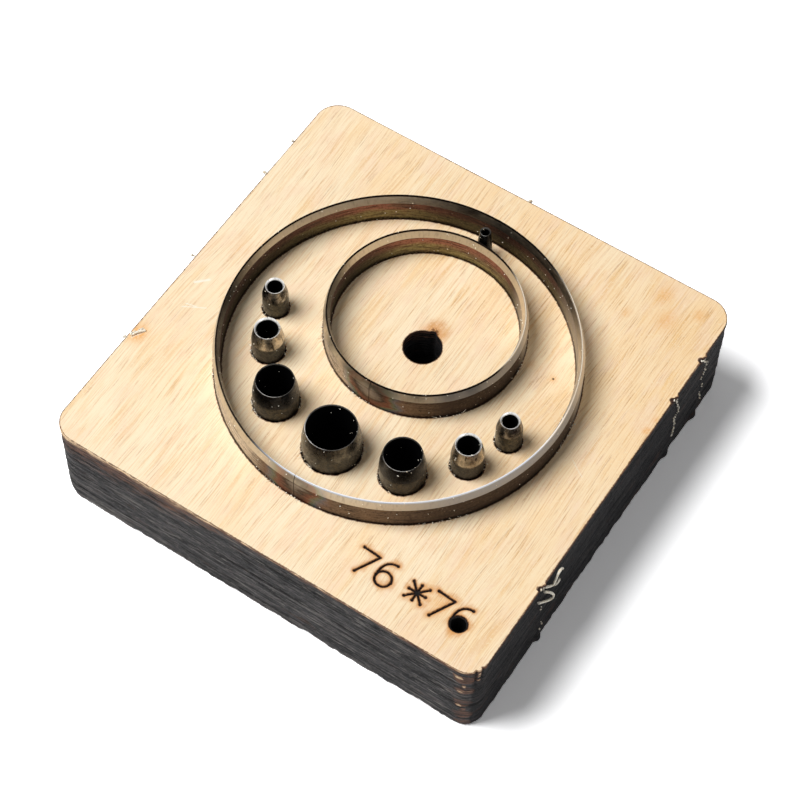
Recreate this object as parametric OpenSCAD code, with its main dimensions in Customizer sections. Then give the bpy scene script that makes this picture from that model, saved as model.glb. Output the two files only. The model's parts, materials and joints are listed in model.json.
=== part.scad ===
// Steel rule die: two ring rules and eight tube punches set in a laser-cut plywood board.
// The origin is the centre of the board's underside, with +Z towards the cutting edges,
// +X to the right and -Y to the front, where the punches stand in a crescent.

/* [Board] */
// Width of the board, left to right
board_w = 76; // [70:1:120]
// Depth of the board, front to back
board_d = 76; // [70:1:120]
// Thickness of the plywood
board_t = 18; // [12:0.5:25]
// Radius of the board's upright corners
corner_r = 4; // [1:0.5:8]
// Diameter of the hole inside the inner rule
hole_d = 6.1; // [3:0.1:9]
// Distance of the hole to the right of the inner rule's centre
hole_right = 1.3; // [-3:0.1:3]
// Distance of the hole in front of the inner rule's centre
hole_front = 2.8; // [-3:0.1:4]
// Width of the nick in the hole's wall where the laser began
nick_w = 0.8; // [0.3:0.1:1.5]

/* [Cutting rules] */
// Height of the rules' cutting edges above the board
rule_stand = 5.6; // [4:0.1:8]
// Thickness of the rule stock
rule_t = 1.07; // [0.7:0.01:1.4]
// Height of the ground bevel under a rule's cutting edge
rule_bevel_h = 1.5; // [1:0.1:3.5]
// Width of the fine flat left along a rule's cutting edge
rule_land = 0.12; // [0.05:0.01:0.3]
// Cutting diameter of the outer rule
outer_d = 55.4; // [48:0.2:64]
// Distance of the outer rule's centre to the left of the board's centre
outer_left = 0.5; // [-2:0.1:2]
// Distance of the outer rule's centre behind the board's centre
outer_back = 0.85; // [-2:0.05:2]
// Width of the crescent between the two cutting edges at the front, where it is widest
crescent_wide = 19.7; // [16:0.1:24]
// Width of the crescent between the two cutting edges at the back, where it is narrowest
crescent_narrow = 5.3; // [4.4:0.1:6.5]
// Distance of the inner rule's centre to the right of the outer rule's centre
inner_right = 0.2; // [-0.5:0.1:0.5]
// Gap between the two ends of a rule at its butt joint
seam_gap = 0.1; // [0.05:0.05:0.4]
// Clearance of the steel in its slot or hole, on each side
fit_gap = 0.05; // [0.02:0.01:0.12]

/* [Bridges] */
// Width of a wood bridge across the outer rule's slot
outer_bridge_w = 8; // [5:0.5:12]
// Width of a wood bridge across the inner rule's slot
inner_bridge_w = 6; // [4:0.5:8]
// Depth of the slot that runs on over the top of each bridge
bridge_drop = 2; // [1:0.5:5]
// Clearance of a rule's notch over its bridge
notch_gap = 0.3; // [0.1:0.05:0.6]

/* [Punches] */
// Height of the punches' cutting edges above the board, a little above the rules
punch_stand = 6; // [4:0.1:8]
// Cutting diameter of the large punch
large_d = 8; // [6:0.5:10]
// Cutting diameter of the medium punches
medium_d = 6; // [5:0.5:8]
// Cutting diameter of the small punches
small_d = 4; // [3:0.5:5]
// Cutting diameter of the fine punches
fine_d = 3; // [2:0.5:4]
// Cutting diameter of the pinhole punch
pin_d = 1.7; // [1.4:0.1:2.2]
// Width of the ground bevel round a punch, seen from above
punch_bevel_w = 0.55; // [0.4:0.05:1]
// Width of the ground bevel round the pinhole punch, seen from above
pin_bevel_w = 0.4; // [0.1:0.05:0.5]
// Height of the large punch's bevel
large_bevel_h = 2.8; // [1.5:0.1:3.5]
// Height of a medium punch's bevel
medium_bevel_h = 2.8; // [1.5:0.1:3.5]
// Height of a small punch's bevel
small_bevel_h = 2.6; // [1:0.1:3.5]
// Height of a fine punch's bevel
fine_bevel_h = 2.1; // [1:0.1:3]
// Height of the pinhole punch's bevel
pin_bevel_h = 4.2; // [1:0.1:5]
// Width of the lip inside the edge of the large and medium punches
slim_lip_w = 0.15; // [0.1:0.05:0.4]
// Width of the lip inside the edge of the small and fine punches
broad_lip_w = 0.3; // [0.15:0.05:0.4]
// Width of the lip inside the edge of the pinhole punch
pin_lip_w = 0.2; // [0.1:0.05:0.25]
// Width of the fine flat left round a punch's cutting edge
punch_land = 0.06; // [0.03:0.01:0.1]
// Depth of the cutting bore before it widens to let waste fall
throat_h = 6; // [3:0.5:10]
// Gap between the pinhole punch and the inner rule
pin_gap = 0.25; // [0.2:0.05:0.5]
// Distance of the pinhole punch to the left of the inner rule's centre
pin_left = 0.2; // [-1:0.1:1]

/* [Hidden] */

// Facets of the rules and of the punches
ring_fn = 180;
punch_fn = 72;

// Length by which a cut runs past the face that it opens
overrun = 1;

rule_z = board_t + rule_stand;
punch_z = board_t + punch_stand;
outer_r = outer_d / 2;
outer_at = [-outer_left, outer_back];

// The inner rule leaves the crescent its widest gap at the front and its narrowest at the back
inner_r = outer_r - (crescent_wide + crescent_narrow) / 2;
inner_back = (crescent_wide - crescent_narrow) / 2;
inner_at = outer_at + [inner_right, inner_back];
hole_at = inner_at + [hole_right, -hole_front];

// Both butt joints face the front, and the bridges stand clear of them
seam_turn = -90;
outer_bridge_turns = [45, 135, 225, 315];
inner_bridge_turns = [90, 210, 330];

// A punch's four sizes: cutting diameter, bevel width, bevel height and lip width
large = [large_d, punch_bevel_w, large_bevel_h, slim_lip_w];
medium = [medium_d, punch_bevel_w, medium_bevel_h, slim_lip_w];
small = [small_d, punch_bevel_w, small_bevel_h, broad_lip_w];
fine = [fine_d, punch_bevel_w, fine_bevel_h, broad_lip_w];
pin = [pin_d, pin_bevel_w, pin_bevel_h, pin_lip_w];

// The crescent from left to right: each punch's sizes, its bearing in degrees from the
// front, and its place as a share of the way from the inner rule to the outer one
crescent = [fine, small, medium, large, medium, small, fine];
crescent_turns = [-84.5, -63, -35.7, 0, 34.8, 62.7, 83.1];
crescent_shares = [0.59, 0.56, 0.588, 0.52, 0.58, 0.59, 0.585];

// Part of a punch's wall that the waste bore takes away
relief_share = 0.25;

function cut_r(sizes) = sizes[0] / 2;
function body_r(sizes) = cut_r(sizes) + sizes[1];
function bore_r(sizes) = cut_r(sizes) - sizes[3];
function relief_r(sizes) = bore_r(sizes) + relief_share * (body_r(sizes) - bore_r(sizes));

// Direction of a bearing, and how far along it the inner rule lies from the outer one's centre
function heading(turn) = [sin(turn), -cos(turn)];
function along(turn) = heading(turn) * (inner_at - outer_at);
function offset_sq() = (inner_at - outer_at) * (inner_at - outer_at);
function inner_reach(turn) = along(turn) + sqrt(pow(along(turn), 2) + pow(inner_r, 2) - offset_sq());

// Where a punch of the crescent stands, and where the pinhole punch stands behind the inner rule
function reach(i) = inner_reach(crescent_turns[i])
    + crescent_shares[i] * (outer_r - inner_reach(crescent_turns[i]));
function crescent_at(i) = outer_at + reach(i) * heading(crescent_turns[i]);
pin_at = inner_at + [-pin_left, inner_r + rule_t / 2 + pin_gap + body_r(pin)];

// Outline of the board with round corners
module board_outline() {
    square([board_w - 2 * corner_r, board_d], center = true);
    square([board_w, board_d - 2 * corner_r], center = true);
    for (x = [-1, 1], y = [-1, 1])
        translate([x * (board_w / 2 - corner_r), y * (board_d / 2 - corner_r)])
            circle(r = corner_r, $fn = punch_fn);
}

// Boxes that cross a ring of radius r at each of the given turns, up to the given height
module ring_blocks(r, turns, width, top) {
    for (turn = turns)
        rotate([0, 0, turn])
            translate([r - rule_t, -width / 2, -overrun])
                cube([2 * rule_t, width, top + overrun]);
}

// Slot for a rule: it cuts through the board except where the bridges stand
module rule_slot(r, turns, bridge_w) {
    difference() {
        translate([0, 0, -overrun])
            rotate_extrude($fn = ring_fn)
                translate([r - rule_t / 2 - fit_gap, 0])
                    square([rule_t + 2 * fit_gap, board_t + 2 * overrun]);
        ring_blocks(r, turns, bridge_w, board_t - bridge_drop);
    }
}

// Bent strip of rule: ground bevel on top, notches over the bridges and a butt joint
module ring_rule(r, turns, bridge_w) {
    difference() {
        rotate_extrude($fn = ring_fn)
            translate([r, 0])
                polygon([[-rule_t / 2, 0],
                         [rule_t / 2, 0],
                         [rule_t / 2, rule_z - rule_bevel_h],
                         [rule_land / 2, rule_z],
                         [-rule_land / 2, rule_z],
                         [-rule_t / 2, rule_z - rule_bevel_h]]);
        ring_blocks(r, turns, bridge_w + 2 * notch_gap, board_t - bridge_drop + notch_gap);
        rotate([0, 0, seam_turn])
            translate([r - rule_t, -seam_gap / 2, -overrun])
                cube([2 * rule_t, seam_gap, rule_z + 2 * overrun]);
    }
}

// Turned tube with a bevelled edge, a lip inside it and a wider waste bore below
module tube_punch(sizes) {
    rotate_extrude($fn = punch_fn)
        polygon([[relief_r(sizes), 0],
                 [body_r(sizes), 0],
                 [body_r(sizes), punch_z - sizes[2]],
                 [cut_r(sizes), punch_z],
                 [cut_r(sizes) - punch_land, punch_z],
                 [bore_r(sizes), punch_z - sizes[3] + punch_land],
                 [bore_r(sizes), punch_z - throat_h],
                 [relief_r(sizes), punch_z - throat_h - relief_r(sizes) + bore_r(sizes)]]);
}

// Hole in the board for a punch
module punch_hole(sizes) {
    translate([0, 0, -overrun])
        cylinder(r = body_r(sizes) + fit_gap, h = board_t + 2 * overrun, $fn = punch_fn);
}

// Round hole through the board with the laser's start nick at its back
module centre_hole() {
    translate([0, 0, -overrun]) {
        cylinder(d = hole_d, h = board_t + 2 * overrun, $fn = punch_fn);
        translate([0, hole_d / 2])
            cylinder(d = nick_w, h = board_t + 2 * overrun, $fn = punch_fn);
    }
}

module die_board() {
    color("burlywood")
        difference() {
            linear_extrude(board_t)
                board_outline();
            translate(outer_at)
                rule_slot(outer_r, outer_bridge_turns, outer_bridge_w);
            translate(inner_at)
                rule_slot(inner_r, inner_bridge_turns, inner_bridge_w);
            for (i = [0 : len(crescent) - 1])
                translate(crescent_at(i))
                    punch_hole(crescent[i]);
            translate(pin_at)
                punch_hole(pin);
            translate(hole_at)
                centre_hole();
        }
}

module outer_rule() {
    color("dimgray")
        translate(outer_at)
            ring_rule(outer_r, outer_bridge_turns, outer_bridge_w);
}

module inner_rule() {
    color("dimgray")
        translate(inner_at)
            ring_rule(inner_r, inner_bridge_turns, inner_bridge_w);
}

// One punch of the crescent, counted from the left
module crescent_punch(i, tint) {
    color(tint)
        translate(crescent_at(i))
            tube_punch(crescent[i]);
}

module fine_punch_left() { crescent_punch(0, "rosybrown"); }
module small_punch_left() { crescent_punch(1, "rosybrown"); }
module medium_punch_left() { crescent_punch(2, "darkslategray"); }
module large_punch() { crescent_punch(3, "darkslategray"); }
module medium_punch_right() { crescent_punch(4, "darkslategray"); }
module small_punch_right() { crescent_punch(5, "rosybrown"); }
module fine_punch_right() { crescent_punch(6, "rosybrown"); }

module pinhole_punch() {
    color("slategray")
        translate(pin_at)
            tube_punch(pin);
}

die_board();
outer_rule();
inner_rule();
fine_punch_left();
small_punch_left();
medium_punch_left();
large_punch();
medium_punch_right();
small_punch_right();
fine_punch_right();
pinhole_punch();
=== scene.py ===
"""Finish of a steel rule die: a laser-cut birch board, its two ring rules and its eight tube punches.

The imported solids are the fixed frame, and every piece here stands where its solid stands.
Shapes are worked out in millimetres, and each finished mesh is scaled to metres once.
"""

import json
import logging
import math
from dataclasses import dataclass
from enum import Enum

import bmesh
import bpy
import numpy as np
from mathutils import Matrix, Quaternion, Vector, noise
from mathutils.geometry import delaunay_2d_cdt


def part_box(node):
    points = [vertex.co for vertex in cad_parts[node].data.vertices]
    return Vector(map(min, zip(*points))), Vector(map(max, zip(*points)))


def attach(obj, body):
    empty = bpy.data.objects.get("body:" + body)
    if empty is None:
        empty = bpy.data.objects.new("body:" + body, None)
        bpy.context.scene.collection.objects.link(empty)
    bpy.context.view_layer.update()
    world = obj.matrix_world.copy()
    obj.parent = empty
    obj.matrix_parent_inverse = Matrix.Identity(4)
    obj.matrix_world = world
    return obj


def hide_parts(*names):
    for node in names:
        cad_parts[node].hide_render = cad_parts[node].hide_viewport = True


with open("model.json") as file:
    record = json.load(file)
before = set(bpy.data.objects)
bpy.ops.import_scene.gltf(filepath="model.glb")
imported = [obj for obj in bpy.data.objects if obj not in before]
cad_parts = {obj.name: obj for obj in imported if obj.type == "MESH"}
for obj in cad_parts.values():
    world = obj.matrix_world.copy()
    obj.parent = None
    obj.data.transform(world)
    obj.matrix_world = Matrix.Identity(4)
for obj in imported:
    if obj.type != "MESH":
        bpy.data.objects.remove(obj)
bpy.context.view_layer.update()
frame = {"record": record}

LOG = logging.getLogger("steel_rule_die")

MM = 0.001
PER_METRE = 1 / MM
BODY = "root"

Colour = tuple[float, float, float]
Socket = bpy.types.NodeSocket
Points = np.ndarray

FAR = 9.0
CHUNK = 4000


class Slot(Enum):
    """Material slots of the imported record."""

    BIRCH = "birch_ply"
    RULE = "rule_steel"
    BRONZED = "bronzed_steel"
    BLACKENED = "blackened_steel"


class Face(Enum):
    """Material slots of the board's mesh."""

    SANDED = 0
    CHARRED = 1


def srgb(red: float, green: float, blue: float) -> Colour:
    """Turns a colour of 0 to 255, as a screen shows it, into linear light.

    Args:
        red: Red, 0 to 255.
        green: Green, 0 to 255.
        blue: Blue, 0 to 255.

    Returns:
        The linear colour, each part from 0 to 1.
    """
    shown = (part / 255 for part in (red, green, blue))
    return tuple(part / 12.92 if part <= 0.04045 else ((part + 0.055) / 1.055) ** 2.4 for part in shown)


def node_box(node: str) -> tuple[Points, Points]:
    """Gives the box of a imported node.

    Args:
        node: The node's name.

    Returns:
        Its lowest and its highest corner, in millimetres.
    """
    low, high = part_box(node)
    return np.array(low) * PER_METRE, np.array(high) * PER_METRE


def smooth_step(value: Points, start: float, end: float) -> Points:
    """Rises smoothly from 0 at start to 1 at end, or falls where end is below start."""
    share = np.clip((value - start) / (end - start), 0, 1)
    return share * share * (3 - 2 * share)


def roughness_at(points: Points, pitch: tuple[float, float, float], seed: float) -> Points:
    """Samples smooth noise at many points.

    Args:
        points: Places in millimetres, one row each.
        pitch: Size of the noise's lumps along X, Y and Z, in millimetres.
        seed: Shift that gives each use its own pattern.

    Returns:
        One number for each point, from about -1 to 1.
    """
    scaled = points / np.array(pitch) + seed
    return np.array([noise.noise(Vector(place)) for place in scaled])


def hill(gap: Points, half: float) -> Points:
    """Falls from 1 where a gap is 0 to about a third where it is half."""
    return np.exp(-((gap / half) ** 2))


def spot_gap(points: Points, x: float, y: float) -> Points:
    """Gives how far points are from one place, seen from above."""
    return np.hypot(points[:, 0] - x, points[:, 1] - y)


def line_gap(points: Points, start: Points, end: Points) -> Points:
    """Gives how far points are from the straight line between two places, seen from above."""
    run = end - start
    share = np.clip((points[:, :2] - start) @ run / (run @ run), 0, 1)
    gap = points[:, :2] - start - share[:, None] * run
    return np.hypot(gap[:, 0], gap[:, 1])


def in_scene(name: str, data: bpy.types.ID) -> bpy.types.Object:
    """Makes an object of a mesh, a lamp or a camera, and puts it in the scene."""
    made = bpy.data.objects.new(name, data)
    bpy.context.scene.collection.objects.link(made)
    return made


class NodeSheet:
    """Adds nodes to one tree and joins them with short calls."""

    def __init__(self, tree: bpy.types.NodeTree) -> None:
        """Keeps the tree that the nodes go into."""
        self.tree = tree

    def feed(self, socket: Socket, value: object) -> None:
        """Joins another node's output to a socket, or sets the socket's own value."""
        if isinstance(value, bpy.types.NodeSocket):
            self.tree.links.new(value, socket)
        else:
            socket.default_value = value

    def add(self, kind: str, inputs: dict | None = None, **settings: object) -> bpy.types.Node:
        """Adds a node.

        Args:
            kind: Blender's name for the kind of node.
            inputs: Values or outputs for its inputs, by name or number.
            settings: The node's own settings.

        Returns:
            The new node.
        """
        node = self.tree.nodes.new(kind)
        for name, value in settings.items():
            setattr(node, name, value)
        for key, value in (inputs or {}).items():
            self.feed(node.inputs[key], value)
        return node

    def out(self, kind: str, inputs: dict | None = None, **settings: object) -> Socket:
        """Adds a node and gives its first output."""
        return self.add(kind, inputs, **settings).outputs[0]

    def maths(self, operation: str, *values: object) -> Socket:
        """Works out one number from others."""
        return self.out("ShaderNodeMath", dict(enumerate(values)), operation=operation)

    def vectors(self, operation: str, *values: object) -> Socket:
        """Works out one vector from others."""
        return self.out("ShaderNodeVectorMath", dict(enumerate(values)), operation=operation)

    def scaled(self, vector: object, size: object) -> Socket:
        """Makes a vector longer or shorter."""
        return self.out("ShaderNodeVectorMath", {0: vector, "Scale": size}, operation="SCALE")

    def axes(self, vector: Socket) -> bpy.types.NodeOutputs:
        """Splits a vector into its parts, named X, Y and Z."""
        return self.add("ShaderNodeSeparateXYZ", {"Vector": vector}).outputs


class ShaderSheet(NodeSheet):
    """The nodes of one procedural material."""

    def __init__(self, name: str) -> None:
        """Starts an empty material with its output and its main shader."""
        self.material = bpy.data.materials.new(name)
        self.material.use_nodes = True
        super().__init__(self.material.node_tree)
        self.tree.nodes.clear()
        self.shader = self.add("ShaderNodeBsdfPrincipled")
        self.add("ShaderNodeOutputMaterial", {"Surface": self.shader.outputs["BSDF"]})
        place = self.add("ShaderNodeTexCoord").outputs["Object"]
        self.place = self.mapped(place, scale=(PER_METRE,) * 3)

    def mapped(self, vector: Socket, scale: tuple = (1, 1, 1), shift: tuple = (0, 0, 0)) -> Socket:
        """Scales and then shifts a pattern's coordinates."""
        return self.out("ShaderNodeMapping", {"Vector": vector, "Scale": scale, "Location": shift})

    def spread(self, value: Socket, low: float, high: float, start: float = 0, end: float = 1) -> Socket:
        """Maps a number smoothly from the range low to high onto start to end."""
        inputs = {"Value": value, "From Min": low, "From Max": high, "To Min": start, "To Max": end}
        return self.out("ShaderNodeMapRange", inputs, interpolation_type="SMOOTHSTEP")

    def lumps(self, vector: Socket, scale: float = 1, detail: float = 3, rough: float = 0.5) -> Socket:
        """Gives smooth noise, from 0 to 1."""
        inputs = {"Vector": vector, "Scale": scale, "Detail": detail, "Roughness": rough}
        return self.add("ShaderNodeTexNoise", inputs).outputs["Fac"]

    def streaks(self, scale: tuple, detail: float = 3, rough: float = 0.5, shift: tuple = (0, 0, 0),
                run: Socket | None = None) -> Socket:
        """Gives noise drawn out along an axis.

        Args:
            scale: How close its lumps are along X, Y and Z, to the millimetre.
            detail: How many finer layers it has.
            rough: How strong they are.
            shift: Shift that gives each use its own pattern.
            run: The coordinates that it follows, or None for the piece's own.

        Returns:
            The noise, from 0 to 1.
        """
        return self.lumps(self.mapped(self.place if run is None else run, scale, shift), 1, detail, rough)

    def tint(self, under: object, over: object, amount: object) -> Socket:
        """Lays one colour over another.

        Args:
            under: The colour below, as numbers or an output.
            over: The colour above.
            amount: How much of it shows, 0 to 1.

        Returns:
            The mixed colour.
        """
        node = self.add("ShaderNodeMix", data_type="RGBA", blend_type="MIX")
        for socket, value in zip((node.inputs[0], node.inputs[6], node.inputs[7]), (amount, under, over)):
            self.feed(socket, (*value, 1) if isinstance(value, tuple) else value)
        return node.outputs[2]

    def coats(self, colour: object, *rows: tuple) -> Socket:
        """Lays tones over a colour, one after the other.

        Args:
            colour: The colour at the bottom.
            rows: A tone, the number that it follows, and the range that spread takes, for each coat.

        Returns:
            The mixed colour.
        """
        for tone, value, *span in rows:
            colour = self.tint(colour, tone, self.spread(value, *span))
        return colour

    def total(self, *rows: tuple[Socket, float]) -> Socket:
        """Adds numbers up, each times its own share."""
        heights = [self.maths("MULTIPLY", value, share) for value, share in rows]
        found = heights[0]
        for height in heights[1:]:
            found = self.maths("ADD", found, height)
        return found

    def bump(self, height: Socket, depth: float, strength: float = 1) -> Socket:
        """Turns a height of 0 to 1 into surface relief that is depth millimetres deep."""
        return self.out("ShaderNodeBump", {"Height": height, "Distance": depth * MM, "Strength": strength})

    def attribute(self, name: str) -> Socket:
        """Reads a number that the mesh keeps at its points."""
        return self.add("ShaderNodeAttribute", attribute_name=name).outputs["Fac"]

    def finish(self, **sockets: object) -> bpy.types.Material:
        """Sets the main shader's sockets, named with underscores, and gives the material."""
        for name, value in sockets.items():
            self.feed(self.shader.inputs[name.replace("_", " ")], value)
        return self.material


@dataclass(frozen=True)
class BirchFace:
    """Sanded birch veneer with its grain along Y, scorched where the laser passed, and painted warmer and darker
    towards the back right as light falloff.
    """

    pale: Colour = srgb(254, 235, 202)
    warm: Colour = srgb(253, 222, 177)
    peach: Colour = srgb(251, 222, 190)
    fibre: Colour = srgb(230, 184, 126)
    amber: Colour = srgb(241, 196, 128)
    pore: Colour = srgb(190, 136, 84)
    stain: Colour = srgb(236, 170, 90)
    scuff: Colour = srgb(255, 250, 236)
    smoke: Colour = srgb(214, 146, 76)
    scorch: Colour = srgb(92, 50, 26)
    char: Colour = srgb(17, 10, 9)
    hollow: Colour = (0.0004, 0.0003, 0.0003)
    sway: float = 5.0
    relief: float = 0.05

    def grain(self, sheet: ShaderSheet) -> tuple[Socket, Socket]:
        """Draws the clean veneer.

        Args:
            sheet: The material's nodes.

        Returns:
            Its colour, and its height for the relief.
        """
        sway = sheet.maths("MULTIPLY", sheet.streaks((0.05, 0.018, 0.05), 2), self.sway)
        run = sheet.vectors("ADD", sheet.place, sheet.out("ShaderNodeCombineXYZ", {"X": sway}))
        broad = sheet.streaks((0.12, 0.03, 0.1), run=run)
        rosy = sheet.streaks((0.3, 0.12, 1), 3, 0.6, (5, 1, 0), run)
        fine = sheet.streaks((4.6, 0.08, 1), 4, 0.7, run=run)
        band = sheet.streaks((0.9, 0.08, 1), 5, 0.65, (7, 3, 0), run)
        dash = sheet.streaks((4.2, 0.16, 1), 3, 0.55, (3, 9, 0), run)
        fleck = sheet.streaks((3.2, 2.4, 1), 3, 0.7, (1, 2, 0), run)
        parts = sheet.axes(sheet.place)
        rearward = sheet.maths("ADD", parts["X"], parts["Y"])
        # The rearward share paints light falloff: the veneer turns warmer and darker towards the back right.
        warmth_and_falloff = sheet.maths("ADD", broad, sheet.spread(rearward, -45, 75, -0.12, 0.16))
        colour = sheet.coats(self.pale, (self.warm, warmth_and_falloff, 0.3, 0.78), (self.peach, rosy, 0.46, 0.66, 0, 0.7))
        rougher = sheet.spread(rearward, -30, 60, 0.75, 1.0)
        for tone, value, low, high, most in (
                (self.amber, band, 0.5, 0.7, 0.55), (self.fibre, fine, 0.46, 0.65, 0.68),
                (self.pore, dash, 0.57, 0.69, 0.5), (self.pore, fleck, 0.36, 0.26, 0.4)):
            amount = sheet.maths("MULTIPLY", sheet.spread(value, low, high, 0, most), rougher)
            colour = sheet.tint(colour, tone, amount)
        colour = sheet.coats(colour, (self.pale, fleck, 0.54, 0.68, 0, 0.6))
        pores = sheet.spread(dash, 0.56, 0.74, 0, 0.6)
        return colour, sheet.total((fine, -0.8), (pores, -1.0), (fleck, 0.3))

    def burnt(self, sheet: ShaderSheet, colour: Socket) -> Socket:
        """Lays stains, smoke, scorch and char over the veneer, by the numbers that the mesh keeps, and paints
        near-black shade where it burnt right out.
        """
        flicker = sheet.lumps(sheet.place, 3.2)
        ragged = sheet.maths("MULTIPLY", sheet.maths("SUBTRACT", flicker, 0.5), 0.3)
        stained = sheet.maths("MULTIPLY", sheet.attribute("stain"), sheet.spread(flicker, 0.25, 0.6, 0.5, 1))
        smoke = sheet.maths("MULTIPLY", sheet.attribute("smoke"), sheet.spread(flicker, 0.2, 0.6, 0.6, 1))
        kerf = sheet.maths("ADD", sheet.attribute("kerf_mm"), ragged)
        mark = sheet.maths("ADD", sheet.attribute("mark_mm"), sheet.maths("MULTIPLY", ragged, 0.8))
        burnt = sheet.attribute("burnt")
        colour = sheet.tint(colour, self.stain, stained)
        colour = sheet.coats(
            colour,
            (self.smoke, smoke, 0.0, 0.75, 0, 0.8), (self.scorch, smoke, 0.62, 1.0, 0, 0.85),
            (self.scorch, kerf, 0.02, 0.2, 0.9, 0),
            (self.smoke, mark, 0.16, 0.6, 0.5, 0), (self.scorch, mark, 0.12, 0.33, 0.9, 0),
            (self.char, mark, 0.08, 0.22, 1, 0))
        # Where the burn is nearly full, in the burnt-out pit, the star's heart and the pin hole, the hollow tone paints
        # near-black shade over the char.
        colour = sheet.coats(sheet.tint(colour, self.char, burnt), (self.hollow, burnt, 0.9, 1.0))
        return sheet.tint(colour, self.scuff, sheet.attribute("scuff"))

    def material(self) -> bpy.types.Material:
        """Makes the material."""
        sheet = ShaderSheet("birch_face")
        clean, height = self.grain(sheet)
        colour = self.burnt(sheet, clean)
        gloss = sheet.spread(height, -0.9, -0.2, 0.5, 0.64)
        relief = sheet.bump(height, self.relief, 0.6)
        return sheet.finish(Base_Color=colour, Roughness=gloss, Normal=relief, Specular_IOR_Level=0.15)


@dataclass(frozen=True)
class CharredEdge:
    """Plywood edge burnt black by the laser, with paler lines where one ply meets the next; its front face is painted
    lighter, as the side that the lamp lights.
    """

    front: float = -37.2
    soot_and_shade: Colour = srgb(36, 36, 38)
    # The front face's soot and ash tones are painted lit copies of the others.
    soot_painted_lit: Colour = srgb(70, 69, 70)
    ash: Colour = srgb(84, 80, 78)
    ash_painted_lit: Colour = srgb(156, 150, 144)
    ember: Colour = srgb(74, 54, 46)
    pitch: Colour = srgb(9, 9, 10)
    singed: Colour = srgb(128, 94, 78)
    bare: Colour = srgb(246, 214, 172)
    relief: float = 0.35

    def material(self) -> bpy.types.Material:
        """Makes the material."""
        sheet = ShaderSheet("charred_edge")
        layers = sheet.streaks((0.05, 0.05, 1.1), 5, 0.68)
        fine = sheet.streaks((0.3, 0.3, 4.2), 5, 0.7)
        fleck = sheet.streaks((1.3, 1.3, 7.0), 4, 0.7, (3, 1, 4))
        combed = sheet.streaks((3.2, 3.2, 0.3))
        patch = sheet.streaks((0.16, 0.16, 0.6), 5, 0.68, (2, 5, 1))
        grit = sheet.lumps(sheet.place, 3.2, 5, 0.74)
        # facing picks the front face, which gets the painted lit tones.
        facing = sheet.spread(sheet.axes(sheet.place)["Y"], self.front + 0.5, self.front)
        soot_and_shade = sheet.tint(self.soot_and_shade, self.soot_painted_lit, facing)
        ash = sheet.tint(self.ash, self.ash_painted_lit, facing)
        colour = sheet.coats(
            soot_and_shade,
            (self.pitch, layers, 0.5, 0.38, 0, 0.85), (ash, layers, 0.54, 0.66, 0, 0.45),
            (self.pitch, fine, 0.47, 0.36, 0, 0.85), (ash, fine, 0.55, 0.65, 0, 0.75),
            (self.pitch, patch, 0.5, 0.36, 0, 0.6), (self.ember, patch, 0.56, 0.7, 0, 0.55),
            (ash, fleck, 0.58, 0.7, 0, 0.7), (self.pitch, grit, 0.42, 0.3, 0, 0.8))
        bare = sheet.attribute("bare")
        showing = sheet.maths("ADD", bare, sheet.spread(fine, 0.36, 0.64, -0.3, 0.26))
        showing = sheet.maths("ADD", showing, sheet.spread(fleck, 0.3, 0.7, -0.1, 0.1))
        showing = sheet.maths("MULTIPLY", showing, sheet.spread(bare, 0.0, 0.12))
        colour = sheet.coats(colour, (self.singed, showing, 0.05, 0.6), (self.bare, showing, 0.55, 0.95))
        height = sheet.total((layers, 0.5), (combed, 0.2), (fine, 0.5), (fleck, 0.4))
        relief = sheet.bump(height, self.relief, 0.9)
        gloss = sheet.spread(grit, 0.3, 0.7, 0.75, 0.5)
        return sheet.finish(Base_Color=colour, Roughness=gloss, Normal=relief, Specular_IOR_Level=0.1)


@dataclass(frozen=True)
class RoundSteel:
    """A steel finish that changes with the bearing round its piece, in degrees from +X; these changes are painted
    light: highlights, sheen, reflections and shade.
    """

    name: str
    centre: tuple[float, float]
    radius: float

    def sideways(self, sheet: ShaderSheet, bearing: float) -> Socket:
        """Gives how far round a place lies towards a bearing, about 1 right there and -1 opposite."""
        turn = math.radians(bearing)
        aim = (math.cos(turn) / self.radius, math.sin(turn) / self.radius, 0.0)
        from_centre = sheet.mapped(sheet.place, shift=(-self.centre[0], -self.centre[1], 0))
        node = sheet.add("ShaderNodeVectorMath", {0: from_centre, 1: aim}, operation="DOT_PRODUCT")
        return node.outputs["Value"]

    def lobe(self, sheet: ShaderSheet, bearing: float, wide: float, narrow: float, most: float) -> Socket:
        """Gives most within narrow degrees of a bearing, and nothing beyond wide degrees."""
        edge, full = math.cos(math.radians(wide)), math.cos(math.radians(narrow))
        return sheet.spread(self.sideways(sheet, bearing), edge, full, 0, most)

    def lobes(self, sheet: ShaderSheet, colour: object, *rows: tuple) -> Socket:
        """Lays tones over a colour, each with the bearing, widths and strength that lobe takes."""
        for tone, *spot in rows:
            colour = sheet.tint(colour, tone, self.lobe(sheet, *spot))
        return colour


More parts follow.
